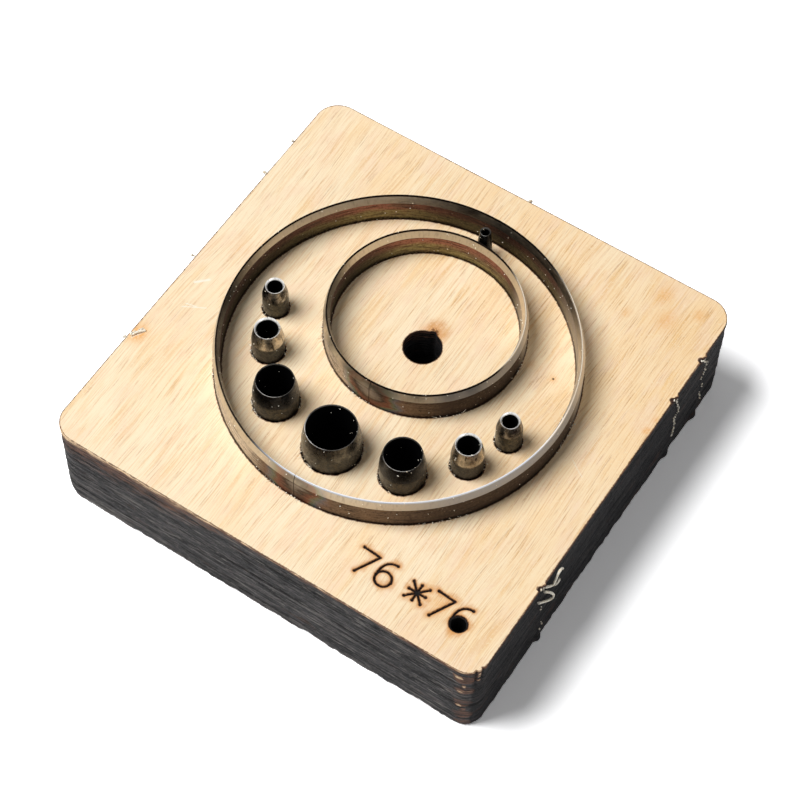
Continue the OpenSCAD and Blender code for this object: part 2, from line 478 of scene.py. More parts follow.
@dataclass(frozen=True)
class TemperedRule(RoundSteel):
    """Rule steel tempered brown and olive, with a paler ground bevel and heat colours at its joint; shade, sheen,
    glints and a bluish reflection are painted on by bearing.
    """

    seam: tuple[float, float]
    board_top: float
    painted_shade: float
    painted_glint: float
    painted_sheen: float
    ground: Colour = srgb(204, 193, 174)
    brown: Colour = srgb(156, 108, 90)
    umber: Colour = srgb(118, 98, 80)
    olive: Colour = srgb(146, 134, 94)
    # Besides the steel's own colours, some tones below paint light by bearing: pale as sheen and highlights, dark and
    # the darkest as shade, glint and the bluish one as highlights and reflections.
    pale: Colour = srgb(246, 234, 214)
    dark: Colour = srgb(44, 35, 31)
    shade_and_grime: Colour = srgb(24, 19, 17)
    rust: Colour = srgb(126, 70, 52)
    green: Colour = srgb(96, 122, 100)
    blue: Colour = srgb(98, 118, 142)
    silver: Colour = srgb(170, 160, 148)
    glint: Colour = srgb(206, 212, 222)
    painted_blue_reflection: Colour = srgb(132, 137, 148)
    heat_above: float = 3.0
    heat_near: float = 2.2
    heat_far: float = 10.0
    relief: float = 0.03

    def heat(self, sheet: ShaderSheet, colour: Socket, drift: Socket) -> Socket:
        """Lays the joint's heat colours over the steel in soft bands."""
        joint = (*self.seam, self.board_top + self.heat_above)
        node = sheet.add("ShaderNodeVectorMath", {0: sheet.place, 1: joint}, operation="DISTANCE")
        warped = sheet.maths("ADD", node.outputs["Value"], sheet.maths("MULTIPLY", drift, 5.0))
        ramp = sheet.add("ShaderNodeValToRGB", {"Fac": sheet.spread(warped, self.heat_near, self.heat_far)})
        stops = ((0.0, self.silver), (0.2, self.dark), (0.42, self.rust),
                 (0.58, self.green), (0.7, self.blue), (0.9, self.brown))
        for index, (place, tone) in enumerate(stops):
            spot = ramp.color_ramp.elements[index] if index < 2 else ramp.color_ramp.elements.new(place)
            spot.position, spot.color = place, (*tone, 1)
        return sheet.coats(colour, (ramp.outputs["Color"], warped, 9.5, 5.0, 0, 0.62))

    def material(self) -> bpy.types.Material:
        """Makes the material."""
        sheet, top = ShaderSheet(self.name), self.board_top
        height = sheet.axes(sheet.place)["Z"]
        long_lumps = sheet.streaks((0.16, 0.16, 0.55), 5, 0.6)
        lines = sheet.streaks((0.3, 0.3, 5), 4, 0.6)
        upright = sheet.streaks((2.4, 2.4, 0.25), 4, 0.6)
        grit = sheet.lumps(sheet.place, 2.6, 5, 0.7)
        level = height
        for value, sway in ((long_lumps, 2.0), (lines, 2.4)):
            level = sheet.maths("ADD", level, sheet.maths("MULTIPLY", sheet.maths("SUBTRACT", value, 0.5), sway))
        inside = sheet.coats(self.olive, (self.brown, level, top + 1.8, top + 3.0),
                             (self.umber, long_lumps, 0.5, 0.66, 0, 0.6))
        # Dark lobes paint shade on the inner wall near bearings 190, 92 and 20.
        inside = self.lobes(sheet, inside, (self.dark, 190, 60, 15, 0.85), (self.shade_and_grime, 92, 38, 12, 0.8 * self.painted_shade),
                            (self.dark, 20, 60, 30, 0.8))
        # On the outer wall a pale lobe paints sheen near bearing 233 and a dark lobe paints shade near bearing -14.
        outside = self.lobes(sheet, self.umber, (self.pale, 233, 24, 9, self.painted_sheen), (self.dark, -14, 52, 24, 0.75))
        inward, ground = sheet.attribute("inward"), sheet.attribute("ground")
        wall = sheet.coats(sheet.tint(outside, inside, inward),
                           (self.dark, lines, 0.48, 0.64, 0, 0.72), (self.dark, grit, 0.5, 0.7, 0, 0.7),
                           (self.ground, grit, 0.38, 0.28, 0, 0.5))
        # The wall goes darker towards its foot, broken up by the grit.
        low = sheet.spread(height, top + 0.9, top + 0.1)
        wall = sheet.tint(wall, self.shade_and_grime, sheet.maths("MULTIPLY", low, sheet.spread(grit, 0.35, 0.6, 0.45, 1)))
        bevel = sheet.coats(self.ground, (self.umber, upright, 0.48, 0.78, 0, 0.4))
        # On the bevel a bluish lobe paints a reflection near bearing -14, and a dark lobe paints shade on its inner
        # face near bearing 205.
        bevel = self.lobes(sheet, bevel, (self.painted_blue_reflection, -14, 50, 20, 0.8))
        bevel = sheet.tint(bevel, self.shade_and_grime, sheet.maths("MULTIPLY", self.lobe(sheet, 205, 40, 12, 0.9), inward))
        # A pale lobe near bearing 36 paints a highlight.
        colour = self.lobes(sheet, sheet.tint(wall, bevel, ground), (self.pale, 36, 28, 4, 0.4))
        colour = self.heat(sheet, colour, long_lumps)
        # A lobe of painted shade near bearing 78 darkens the ground faces.
        ragged = sheet.spread(long_lumps, 0.3, 0.7, 0.7, 1.1)
        shadowed = sheet.maths("MULTIPLY", self.lobe(sheet, 78, 50, 16, self.painted_shade), ragged)
        colour = sheet.tint(colour, self.shade_and_grime, sheet.maths("MULTIPLY", shadowed, ground))
        # The land's tone is painted light: a dark line as shade, a glint towards bearing -48 and a pale highlight near
        # bearing 26.
        land = sheet.coats(self.shade_and_grime, (self.glint, self.sideways(sheet, -48), 0.45, 0.75, 0, self.painted_glint))
        land = self.lobes(sheet, land, (self.pale, 26, 40, 22, 0.6))
        colour = sheet.tint(colour, land, sheet.attribute("land"))
        gloss = sheet.maths("ADD", sheet.spread(grit, 0.3, 0.7, 0.32, 0.46), sheet.spread(ground, 0.3, 0.7, 0.2, 0.0))
        relief = sheet.bump(sheet.maths("ADD", upright, lines), self.relief, 0.5)
        return sheet.finish(Base_Color=colour, Roughness=gloss, Normal=relief, Metallic=1.0)


@dataclass(frozen=True)
class SteelTones:
    """The colours of one turned punch, and how blotchy it is, how bright its lip is painted and towards which bearing,
    and how strongly its bevel is painted lit on one side and shaded on the other.
    """

    body: Colour
    bevel: Colour
    stain: Colour
    blotch: float = 0.6
    lip: float = 1.0
    lip_glint_bearing: float | None = None
    lit: float = 0.0


@dataclass(frozen=True)
class TurnedSteel(RoundSteel):
    """Turned tool steel, darkened by heat, with a brighter ground edge that is partly a painted highlight, a bevel
    painted lit on one side, a darker foot, and a bore painted near-black as shade.
    """

    tones: SteelTones
    board_top: float
    # The rim tone is partly a painted highlight on the ground edge, and the soot tone paints the bore's shade
    # near-black.
    rim: Colour = srgb(236, 234, 230)
    soot_and_shade: Colour = srgb(4, 4, 5)
    foot_dark: Colour = srgb(26, 23, 21)
    lit_bearing: float = -10.0
    relief: float = 0.03

    def material(self) -> bpy.types.Material:
        """Makes the material."""
        sheet, tones = ShaderSheet(self.name), self.tones
        height = sheet.axes(sheet.place)["Z"]
        turning = sheet.streaks((0.2, 0.2, 9), 3, 0.6)
        upright = sheet.streaks((1.3, 1.3, 0.3), 4, 0.6)
        grit = sheet.lumps(sheet.place, 1.7, 6, 0.68)
        blotch = sheet.lumps(sheet.place, 0.75, 4, 0.6)
        body = sheet.coats(tones.body, (tones.stain, grit, 0.42, 0.62, 0, 0.7))
        # The last bevel coat paints shade away from the lit bearing, so the bevel tone shows as a painted lit side.
        bevel = sheet.coats(
            tones.bevel,
            (tones.stain, blotch, 0.44, 0.58, 0, tones.blotch), (tones.stain, upright, 0.56, 0.66, 0, 0.8),
            (tones.stain, self.sideways(sheet, self.lit_bearing), 0.5, -0.9, 0, tones.lit))
        colour = sheet.tint(body, bevel, sheet.attribute("ground"))
        # The steel goes darker towards its foot, broken up by the grit.
        foot = sheet.spread(height, self.board_top + 1.0, self.board_top + 0.15)
        colour = sheet.tint(colour, self.foot_dark, sheet.maths("MULTIPLY", foot, sheet.spread(grit, 0.35, 0.55, 0.4, 1)))
        # The lip's near-white tone is partly a painted highlight, shown most towards its glint bearing.
        flecked = sheet.spread(grit, 0.34, 0.5, 0.5 * tones.lip, tones.lip)
        lip = sheet.maths("MULTIPLY", sheet.attribute("rim"), flecked)
        if tones.lip_glint_bearing is not None:
            facing = sheet.spread(self.sideways(sheet, tones.lip_glint_bearing), 0.35, 0.9, 0.1, 1)
            lip = sheet.maths("MULTIPLY", lip, facing)
        # The bore is painted near-black as its shade.
        bore = sheet.attribute("bore")
        colour = sheet.tint(sheet.tint(colour, self.rim, lip), self.soot_and_shade, bore)
        gloss = sheet.maths("MAXIMUM", sheet.spread(grit, 0.3, 0.7, 0.22, 0.42), bore)
        relief = sheet.bump(sheet.maths("ADD", turning, grit), self.relief, 0.5)
        bright = sheet.maths("SUBTRACT", 1.0, bore)
        return sheet.finish(Base_Color=colour, Roughness=gloss, Normal=relief, Metallic=bright, Specular_IOR_Level=0.02)


@dataclass(frozen=True)
class PaleFibre:
    """Torn unburnt wood: cream, browner where the laser just missed it."""

    cream: Colour = srgb(254, 248, 232)
    tan: Colour = srgb(236, 206, 160)
    burnt: Colour = srgb(70, 44, 30)
    relief: float = 0.05

    def material(self, name: str, burnt: float) -> bpy.types.Material:
        """Makes the material, with a share of its lumps burnt brown."""
        sheet = ShaderSheet(name)
        lumps = sheet.lumps(sheet.place, 2.4)
        strands = sheet.lumps(sheet.place, 7.0)
        colour = sheet.coats(
            self.cream, (self.tan, lumps, 0.46, 0.7, 0, 0.7), (self.burnt, strands, 0.5, 0.64, 0, burnt))
        gloss = sheet.spread(strands, 0.3, 0.7, 0.7, 0.5)
        relief = sheet.bump(strands, self.relief, 0.6)
        return sheet.finish(Base_Color=colour, Roughness=gloss, Normal=relief, Specular_IOR_Level=0.3)


class MeshDraft:
    """Collects the points and faces of one mesh, in millimetres."""

    def __init__(self, values: tuple[str, ...] = ()) -> None:
        """Starts an empty draft.

        Args:
            values: Names of the numbers that the mesh keeps at its points.
        """
        self.points: list[Points] = []
        self.faces: list[tuple[int, ...]] = []
        self.kinds: list[int] = []
        self.values: dict[str, list[Points]] = {name: [] for name in values}
        self.count = 0

    def add(self, points: Points, faces: list, kind: Face = Face.SANDED, **values: Points) -> None:
        """Adds a patch.

        Args:
            points: Its points, one row of three each.
            faces: Its faces, as numbers of these points.
            kind: The material slot of these faces.
            values: The numbers kept at its points; a name left out is 0 there.
        """
        self.faces.extend(tuple(int(i) + self.count for i in face) for face in faces)
        self.kinds.extend([kind.value] * len(faces))
        self.points.append(np.asarray(points, float))
        for name, kept in self.values.items():
            kept.append(np.asarray(values.get(name, np.zeros(len(points))), float))
        self.count += len(points)

    def band(self, rows: list[Points], **values: list[Points]) -> None:
        """Joins closed rows of as many points each with charred quads.

        Args:
            rows: The rows, in order; seen from outside they run to the right, and the next is below.
            values: The numbers kept at the points, a row each.
        """
        across = len(rows[0])
        faces = []
        for above in range(0, (len(rows) - 1) * across, across):
            below = above + across
            for i in range(across):
                j = (i + 1) % across
                faces.append((above + i, below + i, below + j, above + j))
        kept = {name: np.concatenate(parts) for name, parts in values.items()}
        self.add(np.concatenate(rows), faces, Face.CHARRED, **kept)

    def quad(self, *corners: Points) -> None:
        """Adds one charred face."""
        self.add(np.array(corners), [(0, 1, 2, 3)], Face.CHARRED)

    def make(self, name: str, materials: list[bpy.types.Material], weld: float = 0.002) -> bpy.types.Object:
        """Makes the object, in metres.

        Args:
            name: Its name.
            materials: Its materials, in the order of the slots.
            weld: Points closer than this many millimetres become one.

        Returns:
            The new object, in the scene.
        """
        mesh = bpy.data.meshes.new(name)
        mesh.from_pydata([tuple(p) for p in np.concatenate(self.points)], [], self.faces)
        mesh.polygons.foreach_set("material_index", self.kinds)
        for value, parts in self.values.items():
            layer = mesh.attributes.new(value, "FLOAT", "POINT")
            layer.data.foreach_set("value", np.concatenate(parts).astype(np.float32))
        work = bmesh.new()
        work.from_mesh(mesh)
        bmesh.ops.remove_doubles(work, verts=work.verts, dist=weld)
        bmesh.ops.recalc_face_normals(work, faces=work.faces)
        work.to_mesh(mesh)
        work.free()
        mesh.transform(Matrix.Scale(MM, 4))
        for material in materials:
            mesh.materials.append(material)
        return in_scene(name, mesh)


def shade(piece: bpy.types.Object, angle: float) -> None:
    """Shades a piece smooth, apart from edges sharper than an angle in degrees."""
    piece.data.shade_smooth()
    piece.data.set_sharp_from_angle(angle=math.radians(angle))


def settle(piece: bpy.types.Object, slot: Slot, *nodes: str) -> None:
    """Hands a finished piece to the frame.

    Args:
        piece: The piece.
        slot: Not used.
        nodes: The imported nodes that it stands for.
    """
    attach(piece, BODY)
    if nodes:
        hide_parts(*nodes)
    LOG.info("%s: %d faces", piece.name, len(piece.data.polygons))


@dataclass(frozen=True)
class Circle:
    """A round slot wall, hole or tube on the board, in millimetres."""

    x: float
    y: float
    radius: float

    def at(self, turns: Points, radius: Points | float | None = None, z: float = 0.0) -> Points:
        """Gives points at the given turns in radians, at its own radius or another one."""
        reach = self.radius if radius is None else radius
        height = np.full(len(turns), z)
        return np.stack([self.x + reach * np.cos(turns), self.y + reach * np.sin(turns), height], axis=1)

    def gap(self, points: Points) -> Points:
        """Gives how far points are from the circle's line."""
        return np.abs(spot_gap(points, self.x, self.y) - self.radius)


def round_node(node: str) -> Circle:
    """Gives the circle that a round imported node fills, seen from above."""
    low, high = node_box(node)
    centre = (low + high) / 2
    return Circle(centre[0], centre[1], (high[0] - low[0]) / 2)


@dataclass(frozen=True)
class RuleSlot:
    """A slot for a ring rule, cut through the board except at its wood bridges."""

    ring: Circle
    rule_t: float
    bridge_turns: tuple[float, ...]
    bridge_w: float
    bridge_drop: float
    kerf: float = 0.07
    ragged: float = 0.07
    pitch: float = 0.45

    def turns(self) -> Points:
        """Gives the turns at which the slot's walls have points, bridge ends among them."""
        count = int(2 * math.pi * self.ring.radius / self.pitch)
        even = np.linspace(0, 2 * math.pi, count, endpoint=False)
        ends = [math.radians(turn) + side * self.half_bridge() for turn in self.bridge_turns for side in (-1, 1)]
        far = [turn for turn in even if min(abs(turn - end) for end in ends) > 0.3 * self.pitch / self.ring.radius]
        return np.array(sorted([*far, *ends]))

    def half_bridge(self) -> float:
        """Gives half the angle that a bridge takes up, in radians."""
        return self.bridge_w / 2 / self.ring.radius

    def bridged(self, turn: float) -> bool:
        """Says whether a bridge crosses the slot at a turn."""
        spans = [abs(math.remainder(turn - math.radians(middle), 2 * math.pi)) for middle in self.bridge_turns]
        return min(spans) < self.half_bridge()

    def wall(self, side: int, level: int) -> Points:
        """Gives one wall's radius at each turn.

        Args:
            side: 1 for the outer wall, or -1 for the inner one.
            level: 0 at the board's face, where the edge is ragged, or 1 below it.

        Returns:
            The radii, in millimetres.
        """
        turns = self.turns()
        places = self.ring.at(turns)
        nominal = self.ring.radius + side * (self.rule_t / 2 + self.kerf)
        if level:
            return np.full(len(turns), nominal)
        frayed = np.abs(roughness_at(places, (0.8, 0.8, 1), 3.1 + side)) + 0.4 * roughness_at(places, (5, 5, 1), 8.2)
        return nominal + side * self.ragged * np.clip(frayed, 0, 1.4)


@dataclass(frozen=True)
class SizeMark:
    """Plain numbers burnt into the board, drawn with round-ended strokes and a star between them."""

    half_stroke: float = 0.19
    end_blob: float = 0.07
    depth: float = 0.3
    pit_depth: float = 5.0
    star_blob: float = 0.3
    sevens: tuple[tuple[float, float], ...] = ((12.9, -28.6), (25.85, -28.65))
    sixes: tuple[tuple[float, float], ...] = ((18.0, -31.5), (31.0, -31.6))
    star: tuple[float, float] = (23.35, -30.65)
    seven_shares: tuple[tuple[float, float], ...] = ((0, 0), (2.9, -0.2), (0.85, -4.05))
    bowl: tuple[float, float] = (1.3, 1.25)
    stem: tuple[tuple[float, float], ...] = ((-1.3, 0.1), (-1.5, 2.9), (0.75, 2.95))
    long_spoke: float = 1.95
    short_spoke: float = 1.4

    def strokes(self) -> list[Points]:
        """Gives every stroke's centreline as a row of points on the board's face."""
        found = [np.array([(x + dx, y + dy) for dx, dy in self.seven_shares]) for x, y in self.sevens]
        for x, y in self.sixes:
            start, pull, end = (np.array(point) for point in self.stem)
            shares = np.linspace(0, 1, 12)[:, None]
            found.append((1 - shares) ** 2 * start + 2 * shares * (1 - shares) * pull + shares**2 * end + (x, y))
            turns = np.linspace(0, 2 * math.pi, 25)
            found.append(np.stack([x + self.bowl[0] * np.cos(turns), y + self.bowl[1] * np.sin(turns)], axis=1))
        for turn in range(8):
            reach = self.long_spoke if turn % 2 else self.short_spoke
            angle = math.radians(45 * turn)
            tip = (self.star[0] + reach * math.cos(angle), self.star[1] + reach * math.sin(angle))
            found.append(np.array([self.star, tip]))
        return found

    def away(self, points: Points) -> Points:
        """Gives each point's distance from the nearest stroke, and 0 in the blobs and in the burnt bowl."""
        nearest = np.full(len(points), FAR)
        for stroke in self.strokes():
            for start, end in zip(stroke[:-1], stroke[1:]):
                nearest = np.minimum(nearest, line_gap(points, start, end))
            for tip in (stroke[0], stroke[-1]):
                nearest = np.minimum(nearest, spot_gap(points, *tip) - self.end_blob)
        nearest = np.minimum(nearest, spot_gap(points, *self.star) - self.star_blob)
        return np.maximum(np.where(self.in_pit(points) < 1, 0.0, nearest), 0.0)

    def burnt(self, points: Points) -> Points:
        """Gives where the wood is burnt right through to black, 0 to 1."""
        heart = smooth_step(spot_gap(points, *self.star), self.star_blob + 0.1, self.star_blob - 0.1)
        return np.maximum(smooth_step(self.in_pit(points), 1.12, 0.96), heart)

    def in_pit(self, points: Points) -> Points:
        """Gives how far points are across the bowl that burnt right out, where 1 is its rim."""
        x, y = self.sixes[1]
        return np.hypot((points[:, 0] - x) / self.bowl[0], (points[:, 1] - y) / self.bowl[1])

    def sink(self, points: Points) -> Points:
        """Gives how deep the mark is at each point."""
        groove = self.depth * smooth_step(self.away(points), self.half_stroke + 0.06, 0.02)
        return np.maximum(groove, self.pit_depth * smooth_step(self.in_pit(points), 1.0, 0.35))

    def box(self) -> tuple[Points, Points]:
        """Gives the corners of the mark with room for its halo."""
        every = np.concatenate(self.strokes())
        return every.min(axis=0) - 1.0, every.max(axis=0) + 1.0


@dataclass(frozen=True)
class BoardWear:
    """Stains, scratches and broken tabs of the board, in millimetres from its middle."""

    stains: tuple[tuple[float, float, float, float], ...] = (
        (27.2, 34.2, 1.3, 0.6), (33.6, 34.0, 0.9, 0.6), (29.8, 30.3, 1.7, 0.55), (23.8, 28.2, 0.7, 0.5),
        (16.4, 11.7, 0.6, 0.6), (20.7, 11.4, 0.55, 0.7), (-36.7, -16.9, 1.4, 1.0), (37.2, 11.5, 0.5, 0.9),
        (37.3, 13.8, 0.4, 0.6), (24.7, -29.5, 1.2, 0.5), (27.2, -30.4, 1.4, 0.5), (31.0, -33.0, 1.0, 0.45))
    scuffs: tuple[tuple[tuple[float, float], tuple[float, float], float], ...] = (
        ((-34.1, -9.1), (-30.8, -7.3), 0.13), ((-33.9, -8.3), (-32.2, -7.9), 0.12), ((-35.1, -4.3), (-33.5, -2.7), 0.3),
        ((30.6, 0.8), (33.2, -0.9), 0.06), ((-37.2, -18.0), (-36.2, -16.2), 0.16))
    tabs: tuple[tuple[float, float], ...] = ((38.0, 27.6), (38.0, 18.9), (38.0, -19.7))
    scuff_white: float = 0.75
    tab_half: float = 0.65
    patches: tuple[tuple[float, float, float, float, float], ...] = (
        (35.2, -37.95, 15.8, 0.8, 1.0), (36.0, -37.7, 13.3, 0.45, 0.9), (35.4, -37.9, 11.5, 0.6, 0.75),
        (35.4, -37.9, 6.8, 0.6, 0.7), (36.15, -37.7, 5.8, 0.6, 0.65), (37.6, -36.2, 17.0, 0.4, 0.85),
        (37.6, -36.2, 16.0, 0.4, 0.8), (37.6, -36.25, 15.0, 0.35, 0.75), (36.0, -37.7, 15.5, 1.9, 0.42),
        (36.0, -37.7, 12.0, 1.8, 0.38), (35.9, -37.7, 8.0, 1.8, 0.34), (36.0, -37.7, 4.0, 1.8, 0.32),
        (36.0, -37.7, 1.2, 1.6, 0.36))
    splits: tuple[tuple[float, float], ...] = ((37.35, -36.67), (37.87, -35.6), (34.3, -38.0))
    dots: tuple[tuple[float, float, float], ...] = ((20.7, 11.46, 0.13),)

    def dotted(self, points: Points) -> Points:
        """Gives where a knot hole as fine as a pin is painted black on the face as its shade, 0 to 1."""
        found = np.zeros(len(points))
        for x, y, radius in self.dots:
            found = np.maximum(found, smooth_step(spot_gap(points, x, y), 1.6 * radius, 0.8 * radius))
        return found

    def stained(self, points: Points) -> Points:
        """Gives how orange the face is at each point, 0 to 1."""
        found = np.zeros(len(points))
        for x, y, reach, strength in self.stains:
            away = np.hypot(points[:, 0] - x, (points[:, 1] - y) * 0.8)
            found = np.maximum(found, strength * hill(away, reach))
        return found

    def scuffed(self, points: Points) -> Points:
        """Gives how scratched the face is at each point, 0 to 1."""
        found = np.zeros(len(points))
        for start, end, half in self.scuffs:
            gap = line_gap(points, np.array(start), np.array(end))
            found = np.maximum(found, self.scuff_white * smooth_step(gap, half, 0.3 * half))
        return found

    def patched(self, points: Points) -> Points:
        """Gives how much unburnt wood shows in the broken places near one corner, 0 to 1."""
        found = np.zeros(len(points))
        for x, y, z, reach, strength in self.patches:
            away = np.hypot(spot_gap(points, x, y), (points[:, 2] - z) * 1.3) / reach
            found = np.maximum(found, strength * smooth_step(away, 1.1, 0.6))
        return found


@dataclass(frozen=True)
class WallRelief:
    """How deep the plies, the fire and the breaking-out mark the board's wall, in millimetres."""

    plies: int = 13
    ply_step: float = 0.06
    seam_wave: float = 0.18
    seam_depth: float = 0.15
    seam_half: float = 0.16
    hollow: float = 0.06
    grit: float = 0.04
    foot_h: float = 1.8
    foot_front: float = 0.12
    foot_wave: float = 0.26
    foot_chips: float = 0.22
    notch: float = 0.5
    notch_half: float = 0.46
    nub: float = 0.3
    nub_half: float = 0.22
    heel: float = 0.5
    heel_half: float = 0.7
    split: float = 0.32
    split_half: float = 0.18


@dataclass(frozen=True)
class PlyBoard:
    """The laser-cut board: sanded faces, burnt slots and holes, wood bridges and a charred rim."""

    low: Points
    high: Points
    slots: tuple[RuleSlot, ...]
    tubes: tuple[Circle, ...]
    hole: Circle
    mark: SizeMark
    wear: BoardWear
    corner_radii: tuple[float, float, float, float] = (4.0, 4.0, 4.0, 3.3)
    relief: WallRelief = WallRelief()
    arris: float = 0.06
    hole_pitch: float = 0.3
    rim_pitch: float = 0.5
    row_pitch: float = 0.36
    nick_w: float = 0.8
    face_pitch: float = 0.95
    mark_pitch: float = 0.15
    nick_pitch: float = 0.3
    under_pitch: float = 2.4
    scuff_pitch: float = 0.14
    tab_room: float = 1.8
    tab_pitch: float = 0.13
    tube_kerf: float = 0.08
    tube_ragged: float = 0.12
    frayed_h: float = 0.4
    burn_limit: float = 2.0
    nick_room: float = 4.0
    collar_gaps: tuple[float, ...] = (-0.5, -0.3, -0.15, 0.15, 0.3, 0.5)
    edge_gaps: tuple[float, ...] = (0.2, 0.5)
    least_gap: float = 0.11
    least_gap_under: float = 0.4
    hole_rows: int = 13
    corner_steps: int = 14
    broken_corner: int = 3
    broken_steps: int = 34

    def rim(self) -> tuple[Points, Points]:
        """Gives the outline's points and the outward direction at each, from above."""
        half = (self.high[:2] - self.low[:2]) / 2
        middle = (self.high[:2] + self.low[:2]) / 2
        signs = [(1, 1), (-1, 1), (-1, -1), (1, -1)]
        places, outward = [], []
        for quarter, radius in enumerate(self.corner_radii):
            turn = quarter * math.pi / 2
            after = (quarter + 1) % 4
            corner = signs[quarter] * (half - radius)
            steps = self.broken_steps if quarter == self.broken_corner else self.corner_steps
            bend = np.linspace(turn, turn + math.pi / 2, steps)
            rays = np.stack([np.cos(bend), np.sin(bend)], axis=1)
            places.append(corner + radius * rays)
            outward.append(rays)
            start = places[-1][-1]
            end = signs[after] * (half - self.corner_radii[after]) + self.corner_radii[after] * rays[-1]
            side = self.side_shares(start, end)[:, None]
            places.append(start + side * (end - start))
            outward.append(np.repeat(rays[-1:], len(side), axis=0))
        return np.concatenate(places) + middle, np.concatenate(outward)

    def side_shares(self, start: Points, end: Points) -> Points:
        """Gives where a straight side has points, as shares of its length, closer together at a broken tab."""
        run = end - start
        length = np.hypot(*run)
        even = np.arange(self.rim_pitch, length - 0.5 * self.rim_pitch, self.rim_pitch)
        for tab in self.wear.tabs:
            across = tab - start
            along, aside = across @ run / length, abs(run[0] * across[1] - run[1] * across[0]) / length
            if aside < 1 and self.tab_room < along < length - self.tab_room:
                close = np.arange(along - self.tab_room, along + self.tab_room, self.tab_pitch)
                even = np.concatenate([even[np.abs(even - along) > self.tab_room + 0.5 * self.tab_pitch], close])
        return np.sort(even) / length

    def recess(self, points: Points) -> Points:
        """Gives how far the charred wall lies inside the cut line.

        Args:
            points: Places on the cut line, at their heights.

        Returns:
            The depth at each, in millimetres, 0 or more.
        """
        cut, above, below = self.relief, points[:, 2], self.high[2] - points[:, 2]
        ply = (self.high[2] - self.low[2]) / cut.plies
        level = (above + cut.seam_wave * roughness_at(points, (14, 14, 40), 1.7)) / ply
        seam = np.abs(level - np.round(level)) * ply
        patchy = 0.55 + 0.45 * roughness_at(points, (5, 5, 1.5), 4.4)
        depth = cut.seam_depth * hill(seam, cut.seam_half) * patchy
        depth += cut.ply_step * (np.floor(level) % 2)
        depth += cut.hollow * (1 + roughness_at(points, (7, 7, 2.2), 9.3))
        depth += cut.grit * (1 + roughness_at(points, (0.7, 0.7, 3), 2.9))
        depth *= 0.25 + 0.75 * smooth_step(below, 0.1, 1.5)
        front = smooth_step(points[:, 1], self.low[1] + 3, self.low[1])
        lowest = smooth_step(above, cut.foot_h, 0.0)
        depth += lowest * (cut.foot_front * front + cut.foot_wave * np.abs(roughness_at(points, (3.2, 3.2, 9), 6.6)))
        depth += lowest * cut.foot_chips * np.abs(roughness_at(points, (1.1, 1.1, 9), 3.6))
        for x, y in self.wear.tabs:
            share = spot_gap(points, x, y - self.wear.tab_half) / cut.notch_half
            depth += cut.notch * np.sqrt(np.clip(1 - share**2, 0, 1)) * smooth_step(below, 2.0, 0.7)
            nub = hill(spot_gap(points, x, y + 0.7 * self.wear.tab_half), cut.nub_half)
            depth -= cut.nub * nub * smooth_step(below, 1.0, 0.3)
            heel = hill(spot_gap(points, x, y + 0.5), cut.heel_half)
            depth -= cut.heel * heel * smooth_step(above, 2.6, 0.8)
        for x, y in self.wear.splits:
            depth += cut.split * hill(spot_gap(points, x, y), cut.split_half) * smooth_step(below, 5.0, 3.4)
        return depth

    def rim_row(self, z: float) -> Points:
        """Gives the charred wall's row of points at a height."""
        places, outward = self.rim()
        flat = np.column_stack([places, np.full(len(places), z)])
        flat[:, :2] -= outward * self.recess(flat)[:, None]
        return flat

    def hole_row(self, z: float) -> Points:
        """Gives the centre hole's row of points at a height, with the laser's start nick at its back."""
        turns = np.linspace(0, 2 * math.pi, int(2 * math.pi * self.hole.radius / self.hole_pitch), endpoint=False)
        places = self.hole.at(turns, z=z)
        back = np.abs(places[:, 0] - self.hole.x)
        nick = np.where(np.sin(turns) > 0, self.nick_w / 2 * smooth_step(back, self.nick_w, 0.1), 0)
        frayed = 0.05 * np.abs(roughness_at(places, (0.6, 0.6, 2), 5.5))
        return self.hole.at(turns, self.hole.radius + nick + frayed, z)

    def tube_row(self, tube: Circle, z: float, ragged: float) -> Points:
        """Gives the row of points of a punch's hole at a height."""
        turns = np.linspace(0, 2 * math.pi, int(2 * math.pi * tube.radius / self.hole_pitch), endpoint=False)
        places = tube.at(turns)
        frayed = np.clip(0.4 + roughness_at(places, (0.55, 0.55, 1), tube.x), 0, 1.3)
        return tube.at(turns, tube.radius + self.tube_kerf + ragged * frayed, z)

    def face_loops(self, z: float) -> list[Points]:
        """Gives the closed outlines that bound the upper face."""
        _, outward = self.rim()
        edge = self.rim_row(z)
        edge[:, :2] -= outward * self.arris
        rows = [edge, self.hole_row(z)]
        for slot in self.slots:
            rows += [slot.ring.at(slot.turns(), slot.wall(side, 0), z) for side in (1, -1)]
        return rows + [self.tube_row(tube, z, self.tube_ragged) for tube in self.tubes]

    def kerf_gap(self, points: Points, loops: list[Points]) -> Points:
        """Gives each point's distance from the nearest cut, up to a limit that the finish needs."""
        nearest = np.full(len(points), self.burn_limit)
        for loop in loops:
            for start in range(0, len(points), CHUNK):
                part = slice(start, start + CHUNK)
                away = points[part, None, :2] - loop[None, :, :2]
                nearest[part] = np.minimum(nearest[part], np.hypot(away[..., 0], away[..., 1]).min(axis=1))
        return nearest

    def lattice(self, low: Points, high: Points, pitch: float, seed: float) -> Points:
        """Gives points in a box, on a triangular net that noise shakes a little."""
        across = np.arange(low[0], high[0], pitch)
        up = np.arange(low[1], high[1], pitch * math.sqrt(3) / 2)
        x, y = np.meshgrid(across, up)
        x = x + (np.arange(len(up)) % 2)[:, None] * pitch / 2
        net = np.column_stack([x.ravel(), y.ravel(), np.zeros(x.size)])
        net[:, 0] += 0.25 * pitch * roughness_at(net, (pitch * 3,) * 3, seed)
        net[:, 1] += 0.25 * pitch * roughness_at(net, (pitch * 3,) * 3, seed + 5)
        return net

